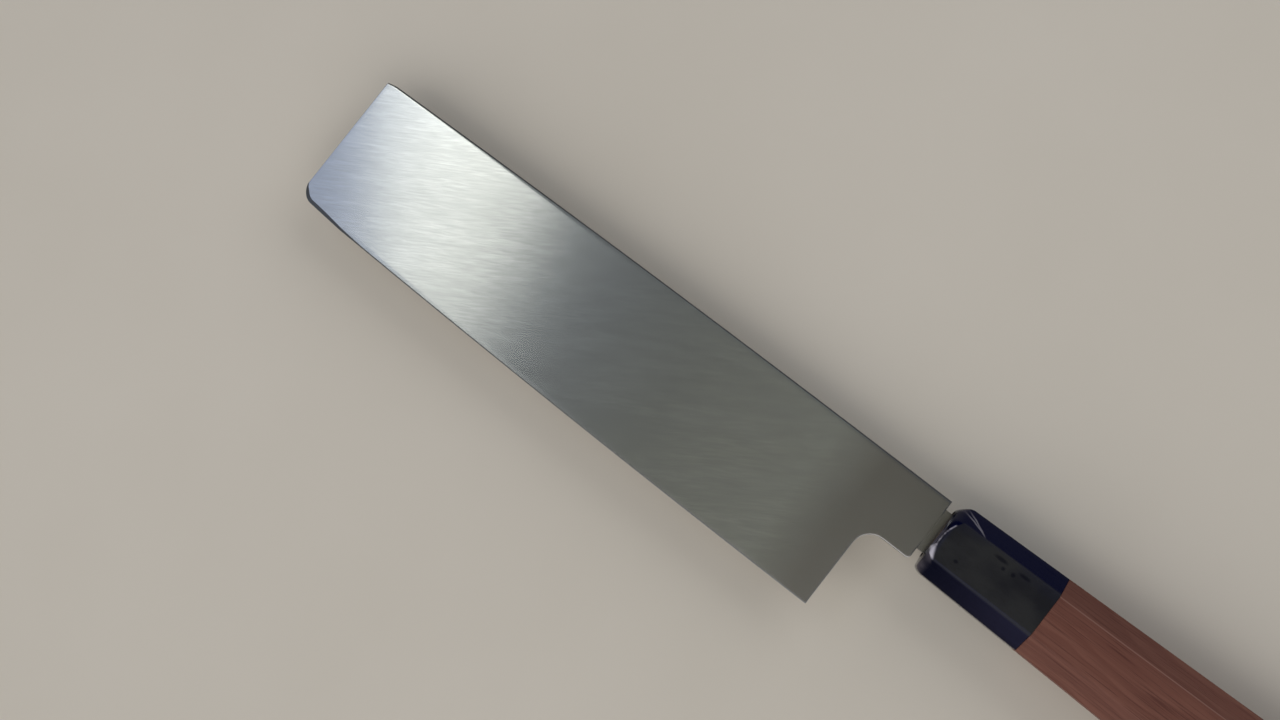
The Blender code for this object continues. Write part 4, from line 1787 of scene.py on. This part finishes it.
@dataclass(frozen=True)
class HandleShape:
    """Sizes that ferrule, grip and dowel share.

    Attributes:
        front: Section at the ferrule's front.
        joint: Section where ferrule and grip meet.
        butt: Section at the butt.
        ferrule_length: Length of the ferrule.
        length: Length of the whole handle.
        ring: How rings go round a section.
        front_round: Length and depth of the ferrule's rounded front.
        front_dome: How far the front's outline lies behind its middle, as the face is slightly domed.
        front_chamfer: Depth of the chamfer on the spine side of that front.
        chamfer_length: Station at which the chamfer has run out.
        chamfer_hollow: How hollow its run is; 1 is straight.
        front_break: How far from the corners the facets end at the front itself.
        butt_round: Radius of the rounded butt.
        joint_break: Tiny chamfer on both sides of the joint.
        bore_radius: Radius of the bore through the ferrule and into the grip.
        bore_chamfer: Chamfer at the bore's mouth.
        bore_level: Level of the bore's axis, on the tang's middle.
        dowel_radius: Radius of the dowel.
        dowel_recess: How far the dowel sits back from the ferrule's face.
        dowel_length: Length of the dowel.
        clearance: Room round the tang and behind the dowel.
        slot_end_room: Room behind the tang's end.
    """

    front: Octagon = Octagon(0.0210, 0.0184, 0.0114, 0.0084)
    joint: Octagon = Octagon(0.0223, 0.0190, 0.0116, 0.0088)
    butt: Octagon = Octagon(0.0265, 0.0220, 0.0137, 0.0100)
    ferrule_length: float = 0.0318
    length: float = 0.130
    ring: OctagonRing = OctagonRing()
    front_round: Point = (0.0030, 0.0012)
    front_dome: float = 0.0004
    front_chamfer: float = 0.0021
    chamfer_length: float = 0.0038
    chamfer_hollow: float = 1.8
    front_break: float = 0.0022
    butt_round: float = 0.0014
    joint_break: float = 0.00012
    bore_radius: float = 0.0074
    bore_chamfer: float = 0.00015
    bore_level: float = -0.00875
    dowel_radius: float = 0.0071
    dowel_recess: float = 0.0002
    dowel_length: float = 0.058
    clearance: float = 0.0003
    slot_end_room: float = 0.0010

    def section(self, station: float) -> Octagon:
        """Section at a station of the handle."""
        if station <= self.ferrule_length:
            return self.front.toward(self.joint, station / self.ferrule_length)
        wood = self.length - self.ferrule_length
        return self.joint.toward(self.butt, (station - self.ferrule_length) / wood)

    def chamfer(self, station: float) -> float:
        """How deep the chamfer on the front's spine side is at a station."""
        rest = (self.chamfer_length - station) / (self.chamfer_length - self.front_dome)
        return self.front_chamfer * max(rest, 0.0) ** self.chamfer_hollow

    def circle(self, turning: Turning, station: float, radius: float) -> None:
        """Adds a round ring to a solid, whose points face those of the octagon.

        Args:
            turning: The solid.
            station: Station of the ring.
            radius: Radius of the ring.
        """
        offsets = [(radius * math.cos(turn), radius * math.sin(turn))
                   for turn in self.ring.directions(self.joint)]
        turning.add(station, self.bore_level, offsets)

    def slot(self, turning: Turning, station: float, blade: BladeShape) -> None:
        """Adds a ring of the tang's slot to a solid, with room all round.

        Args:
            turning: The solid.
            station: Station of the ring.
            blade: The blade, whose tang it fits.
        """
        share = (station - blade.shoulder) / (blade.tang_length - blade.tang_end_point)
        half = mix(blade.tang_width, blade.tang_end_width, share) / 2 + self.clearance
        tall = blade.thickness(blade.shoulder) / 2 + self.clearance
        offsets = []
        for turn in self.ring.directions(self.joint):
            cosine, sine = math.cos(turn), math.sin(turn)
            reach = min(half / max(abs(cosine), NEARLY_ZERO), tall / max(abs(sine), NEARLY_ZERO))
            offsets.append((reach * cosine, reach * sine))
        turning.add(station, self.bore_level, offsets)

    def outer(self, turning: Turning, station: float, inset: float = 0.0, spine_inset: float = 0.0,
              edge_break: float = 0.0) -> None:
        """Adds an outer ring of the handle to a solid.

        Args:
            turning: The solid.
            station: Station of the ring.
            inset: How far it is drawn in.
            spine_inset: How far it is drawn in on the spine side, if that is more.
            edge_break: How far from its corners the facets end, if that is more than usual.
        """
        ring = replace(self.ring, edge_break=max(edge_break, self.ring.edge_break))
        turning.add(station, HANDLE_LEVEL, ring.offsets(self.section(station), inset, spine_inset))


@dataclass
class Ferrule:
    """The horn collar: bored through, rounded at the front, with a hairline chamfer at the wood.

    Attributes:
        shape: Sizes of the handle.
        finish: Finish of the horn.
        front_rings: Rings round the rounded front.
        chamfer_rings: Rings from there to the end of the chamfer.
        side_rings: Rings from there to the wood.
    """

    shape: HandleShape
    finish: HornFinish
    front_rings: int = 12
    chamfer_rings: int = 3
    side_rings: int = 6

    def build(self) -> None:
        """Builds the collar and lets it stand for its solid."""
        shape, turning = self.shape, Turning("horn_collar")
        length, depth = shape.front_round
        shape.circle(turning, shape.ferrule_length, shape.bore_radius)
        shape.circle(turning, shape.bore_chamfer, shape.bore_radius)
        shape.circle(turning, 0.0, shape.bore_radius + shape.bore_chamfer)
        for turn in steps(0.0, QUARTER_TURN, self.front_rings):
            fullness = math.cos(turn)
            station = mix(length, shape.front_dome, fullness)
            shape.outer(turning, station, depth * (1 - math.sin(turn)), shape.chamfer(station),
                        shape.front_break * fullness)
        for station in steps(length, shape.chamfer_length, self.chamfer_rings)[1:]:
            shape.outer(turning, station, 0.0, shape.chamfer(station))
        for station in steps(shape.chamfer_length, shape.ferrule_length, self.side_rings)[1:-1]:
            shape.outer(turning, station)
        shape.outer(turning, shape.ferrule_length - shape.joint_break)
        shape.outer(turning, shape.ferrule_length, shape.joint_break)
        install(turning.build(True, self.finish.make()), "ferrule")


@dataclass
class Grip:
    """The octagonal wooden grip: bored for the dowel, slotted for the tang, rounded at the butt.

    Attributes:
        shape: Sizes of the handle.
        blade: The blade, whose tang the slot fits.
        finish: Finish of the wood.
        side_rings: Rings from the ferrule to the rounded butt.
        butt_rings: Rings round the butt.
    """

    shape: HandleShape
    blade: BladeShape
    finish: WoodFinish
    side_rings: int = 12
    butt_rings: int = 9

    def build(self) -> None:
        """Builds the grip and lets it stand for its solid."""
        shape, turning = self.shape, Turning("wooden_grip")
        slot_end = self.blade.shoulder + self.blade.tang_length + shape.slot_end_room
        bore_end = shape.dowel_recess + shape.dowel_length + shape.clearance
        shape.slot(turning, slot_end, self.blade)
        shape.slot(turning, bore_end, self.blade)
        shape.circle(turning, bore_end, shape.bore_radius)
        shape.circle(turning, shape.ferrule_length, shape.bore_radius)
        shape.outer(turning, shape.ferrule_length, shape.joint_break)
        shape.outer(turning, shape.ferrule_length + shape.joint_break)
        straight_end = shape.length - shape.butt_round
        for station in steps(shape.ferrule_length, straight_end, self.side_rings)[1:-1]:
            shape.outer(turning, station)
        for turn in steps(0.0, QUARTER_TURN, self.butt_rings):
            inset = shape.butt_round * (1 - math.cos(turn))
            shape.outer(turning, straight_end + shape.butt_round * math.sin(turn), inset)
        install(turning.build(False, self.finish.make()), "handle_body")


@dataclass
class Dowel:
    """The pale dowel that joins ferrule and grip and is burnt out for the tang.

    Attributes:
        shape: Sizes of the handle.
        blade: The blade, whose tang the slot fits.
        finish: Finish of the wood.
        chamfer: Chamfer at both ends.
        slot_rings: Rings along the slot.
        side_rings: Rings along the outside.
    """

    shape: HandleShape
    blade: BladeShape
    finish: WoodFinish
    chamfer: float = 0.0003
    slot_rings: int = 6
    side_rings: int = 8

    def build(self) -> None:
        """Builds the dowel and lets it stand for its solid."""
        shape, turning = self.shape, Turning("joining_dowel")
        first = shape.dowel_recess
        last = first + shape.dowel_length
        for station in steps(last, first, self.slot_rings):
            shape.slot(turning, station, self.blade)
        shape.circle(turning, first, shape.dowel_radius - self.chamfer)
        for station in steps(first + self.chamfer, last - self.chamfer, self.side_rings):
            shape.circle(turning, station, shape.dowel_radius)
        shape.circle(turning, last, shape.dowel_radius - self.chamfer)
        install(turning.build(True, self.finish.make()), "core_dowel")


@dataclass(frozen=True)
class Softbox:
    """A rectangular studio light.

    Attributes:
        name: Name of the light.
        place: Where it hangs.
        aim: What it faces.
        size: Its two sides.
        radiance: How bright its face is; white paper in plain light is 1.
        colour: Its colour.
        turn: Turn about its own axis, in degrees.
        sparkle: Whether polished surfaces mirror it.
    """

    name: str
    place: tuple[float, float, float]
    aim: tuple[float, float, float]
    size: Point
    radiance: float
    colour: Colour = (1.0, 1.0, 1.0)
    turn: float = 0.0
    sparkle: bool = True

    def build(self) -> None:
        """Hangs the light; the camera doesn't see it."""
        lamp = bpy.data.lights.new(self.name, "AREA")
        lamp.shape = "RECTANGLE"
        lamp.size, lamp.size_y = self.size
        lamp.energy = self.radiance * math.pi * self.size[0] * self.size[1]
        lamp.color = self.colour
        hung = link_object(self.name, lamp)
        direction = Vector(self.aim) - Vector(self.place)
        facing = direction.to_track_quat("-Z", "Y").to_matrix().to_4x4()
        spin = Matrix.Rotation(math.radians(self.turn), 4, "Z")
        hung.matrix_world = Matrix.Translation(self.place) @ facing @ spin
        hung.visible_camera = False
        hung.visible_glossy = self.sparkle


@dataclass(frozen=True)
class Camera:
    """The photograph's view, as a pinhole that was fitted to the knife's outline.

    Attributes:
        place: Where it stands.
        view: The direction that it looks in.
        right: The direction that is to the right in the picture.
        focal_pixels: Focal length in pixels of a picture 1280 wide.
        picture_width: That width.
        sensor_width: Width of the sensor in millimetres.
        near: Distance from which it sees.
    """

    place: tuple[float, float, float]
    view: tuple[float, float, float]
    right: tuple[float, float, float]
    focal_pixels: float
    picture_width: float = 1280
    sensor_width: float = 36.0
    near: float = 0.01

    def build(self) -> None:
        """Sets the camera up."""
        data = bpy.data.cameras.new("camera")
        data.sensor_width = self.sensor_width
        data.lens = self.sensor_width * self.focal_pixels / self.picture_width
        data.clip_start = self.near
        camera = link_object("camera", data)
        back = -Vector(self.view).normalized()
        right = Vector(self.right)
        right = (right - back * right.dot(back)).normalized()
        turn = Matrix((right, back.cross(right), back)).transposed()
        camera.matrix_world = Matrix.Translation(self.place) @ turn.to_4x4()
        bpy.context.scene.camera = camera


@dataclass
class Studio:
    """Pale floor, sky-like surroundings and softboxes.

    Attributes:
        floor_finish: Finish of the floor.
        softboxes: The lights.
        sky: Height above the horizon, as a share, and the colour of the surroundings there.
        floor_reach: Half the floor's side.
        floor_steps: Faces along that side.
    """

    floor_finish: FloorFinish
    softboxes: list[Softbox]
    sky: list[tuple[float, Colour]]
    floor_reach: float = 6.0
    floor_steps: int = 24

    def floor(self) -> None:
        """Lays the floor: a flat net, fine under the knife and coarse far out."""
        net = bmesh.new()
        places = [math.copysign(self.floor_reach * abs(share) ** 3, share)
                  for share in steps(-1.0, 1.0, self.floor_steps)]
        rows = [[net.verts.new((x, y, 0.0)) for y in places] for x in places]
        for row, following in zip(rows, rows[1:]):
            for k in range(len(places) - 1):
                net.faces.new((row[k], following[k], following[k + 1], row[k + 1]))
        floor = release("studio_floor", net, [self.floor_finish.make()])

    def surroundings(self) -> None:
        """Gives the world its shades by height above the horizon."""
        world = bpy.data.worlds.new("studio")
        bpy.context.scene.world = world
        world.use_nodes = True
        tree = world.node_tree
        source = tree.nodes.new("ShaderNodeTexCoord")
        split = tree.nodes.new("ShaderNodeSeparateXYZ")
        ramp = tree.nodes.new("ShaderNodeValToRGB")
        tree.links.new(source.outputs["Generated"], split.inputs["Vector"])
        tree.links.new(split.outputs["Z"], ramp.inputs["Fac"])
        stops = ramp.color_ramp.elements
        while len(stops) < len(self.sky):
            stops.new(1.0)
        for stop, (height, colour) in zip(stops, self.sky):
            stop.position = height
            stop.color = (*colour, 1.0)
        tree.links.new(ramp.outputs["Color"], tree.nodes["Background"].inputs["Color"])

    def build(self) -> None:
        """Sets the studio up."""
        self.floor()
        self.surroundings()
        for softbox in self.softboxes:
            softbox.build()


CAMERA = Camera(
    place=(0.01359, -0.01038, 0.36701),
    view=(-0.1929, 0.0279, -0.9808),
    right=(0.7755, 0.6167, -0.1350),
    focal_pixels=1350,
)

STUDIO = Studio(
    floor_finish=FloorFinish((0.67, 0.612, 0.53), (0.635, 0.578, 0.495)),
    sky=[
        (0.0, (0.20, 0.21, 0.25)),
        (0.12, (0.23, 0.24, 0.28)),
        (0.45, (0.27, 0.285, 0.32)),
        (0.72, (0.18, 0.195, 0.21)),
        (0.86, (0.15, 0.16, 0.158)),
        (0.955, (0.110, 0.128, 0.158)),
        (0.968, (0.099, 0.119, 0.150)),
        (0.978, (0.103, 0.104, 0.078)),
        (0.985, (0.088, 0.086, 0.056)),
        (0.991, (0.112, 0.111, 0.078)),
        (0.9945, (0.190, 0.189, 0.148)),
        (1.0, (0.195, 0.193, 0.150)),
    ],
    softboxes=[
        Softbox("window", place=(-0.610, 0.153, 1.01), aim=(-0.12, 0.0, 0.012), size=(0.416, 0.124),
                radiance=2.36, colour=(0.99, 1.0, 0.916), turn=62.4),
        Softbox("window_glow", place=(-0.996, 0.064, 1.1), aim=(-0.12, 0.0, 0.012), size=(0.953, 0.588),
                radiance=0.458, colour=(0.51, 0.63, 1.0), turn=36.4),
        Softbox("key", place=(0.5, -1.8, 1.5), aim=(0.0, 0.0, 0.0), size=(5.3, 3.15),
                radiance=1.19, colour=(1.0, 0.98, 0.95)),
        Softbox("fill", place=(0.6, 1.9, 1.2), aim=(0.0, 0.0, 0.0), size=(2.4, 2.0),
                radiance=1.28, colour=(0.96, 0.98, 1.0), sparkle=False),
    ],
)

BEVEL_STROKE = 82.0

# Its patina colour is a painted reflection of the handle.
URA_POLISH = SteelFinish(
    "ura_polish", light=(0.745, 0.755, 0.745), dark=(0.575, 0.585, 0.575), roughness=(0.200, 0.240),
    anisotropy=0.8, scratch_angle=29.0, scratch_length=0.0055, scratch_width=0.00038,
    relief=0.0000002, contrast=0.72, handle_reflection=(0.416, 0.394, 0.382),
)
HARD_BEVEL_POLISH = SteelFinish(
    "hard_bevel_polish", light=(0.66, 0.67, 0.68), dark=(0.52, 0.53, 0.54), roughness=(0.16, 0.26),
    anisotropy=0.5, scratch_angle=BEVEL_STROKE, scratch_length=0.004, scratch_width=0.00012,
)
HAZY_BEVEL = SteelFinish(
    "hazy_bevel", light=(0.50, 0.51, 0.52), dark=(0.36, 0.37, 0.38), roughness=(0.42, 0.56),
    anisotropy=0.3, scratch_angle=BEVEL_STROKE, scratch_length=0.005, scratch_width=0.00014, cloud=0.008,
)
FLAT_POLISH = SteelFinish(
    "flat_polish", light=(0.60, 0.61, 0.62), dark=(0.46, 0.47, 0.48), roughness=(0.28, 0.38),
    anisotropy=0.6, scratch_angle=4.0,
)
# Painted dark reflection: the rim and eased edges take a steel colour far darker than steel's own, for the
# dark surroundings they mirror.
RIM_SHADED_POLISH = SteelFinish(
    "rim_shaded_polish", light=(0.17, 0.17, 0.17), dark=(0.13, 0.13, 0.13), roughness=(0.26, 0.36),
    anisotropy=0.3, scratch_angle=BEVEL_STROKE, scratch_length=0.002, scratch_width=0.00012,
)
# The sides are rough-ground, and their steel is painted darker than steel's own, as shade over their
# reflections.
SIDE_POLISH = SteelFinish(
    "side_polish", light=(0.32, 0.32, 0.31), dark=(0.22, 0.21, 0.20), roughness=(0.42, 0.56),
    anisotropy=0.4, scratch_angle=0.0, scratch_length=0.006, scratch_width=0.0002,
)
TANG_SCALE = SteelFinish(
    "tang_scale", light=(0.42, 0.41, 0.39), dark=(0.24, 0.22, 0.20), roughness=(0.40, 0.56),
    anisotropy=0.2, scratch_angle=20.0, scratch_length=0.003, scratch_width=0.0004, relief=0.000004,
)

BLACK_HORN = HornFinish(
    name="black_horn",
    black=(0.0016, 0.0015, 0.0045),
    navy_reflection=(0.0004, 0.0010, 0.0135),
    olive=(0.0280, 0.0275, 0.0260),
    rim=(0.105, 0.092, 0.105),
    pale=(0.17, 0.16, 0.18),
    painted_highlight=(0.66, 0.62, 0.68),
    rear_reflection=(0.0105, 0.0092, 0.0175),
    streaks=(((0.0022, 0.0007), (0.0091, -0.0027)), ((0.0014, -0.0002), (0.0089, -0.0026))),
    streak_width=0.0004,
    streak_bow=0.0002,
    specks=((0.0155, -0.0047, 0.0042, 0.0012), (0.0171, -0.0063, 0.0012, 0.0011),
            (0.0199, -0.0061, 0.0013, 0.0013), (0.0225, -0.0048, 0.0036, 0.0011),
            (0.0071, -0.0120, 0.0013, 0.0010)),
    rim_length=0.0032,
)

# Its colours hold painted shade as well as the wood's own dark red-brown: they are darkened to the handle
# as it looked in shade.
RED_GRAIN = WoodFinish(
    name="red_grain",
    light=(0.188, 0.080, 0.0575),
    middle=(0.134, 0.0510, 0.0370),
    dark=(0.066, 0.0235, 0.019),
    pith=(0.0, -0.055, -0.030),
    ring=0.0024,
    pore_length=0.030,
    pore_width=0.00024,
    roughness=(0.42, 0.62),
    coat=0.03,
    # The corner colour is a painted highlight with wear polish.
    corner=(0.29, 0.158, 0.124),
    corner_line=((HandleShape.ferrule_length, HandleShape.joint.broad_facet / 2),
                 (HandleShape.length, HandleShape.butt.broad_facet / 2)),
)

PALE_GRAIN = WoodFinish(
    name="pale_grain",
    light=(0.60, 0.46, 0.29),
    middle=(0.50, 0.36, 0.21),
    dark=(0.34, 0.23, 0.13),
    pith=(0.0, 0.040, 0.020),
    ring=0.0016,
    pore_length=0.012,
    pore_width=0.00025,
    roughness=(0.6, 0.75),
    coat=0.0,
    # The burn length is painted shade in the ferrule's mouth.
    front_shade=0.003,
)


def main() -> None:
    """Builds the studio, the blade and the handle, in that order."""
    logging.basicConfig(level=logging.INFO, format="%(name)s: %(message)s")
    CAMERA.build()
    STUDIO.build()
    blade_shape, handle_shape = BladeShape(), HandleShape()
    Blade(
        blade_shape, BladePlan(blade_shape), ura=URA_POLISH, hard_bevel=HARD_BEVEL_POLISH,
        soft_bevel=HAZY_BEVEL, flat=FLAT_POLISH, rim=RIM_SHADED_POLISH, spine=SIDE_POLISH, tang=TANG_SCALE,
    ).build()
    Ferrule(handle_shape, BLACK_HORN).build()
    Grip(handle_shape, blade_shape, RED_GRAIN).build()
    Dowel(handle_shape, blade_shape, PALE_GRAIN).build()
    bpy.context.scene.view_settings.view_transform = "Standard"


if __name__ == "__main__":
    main()
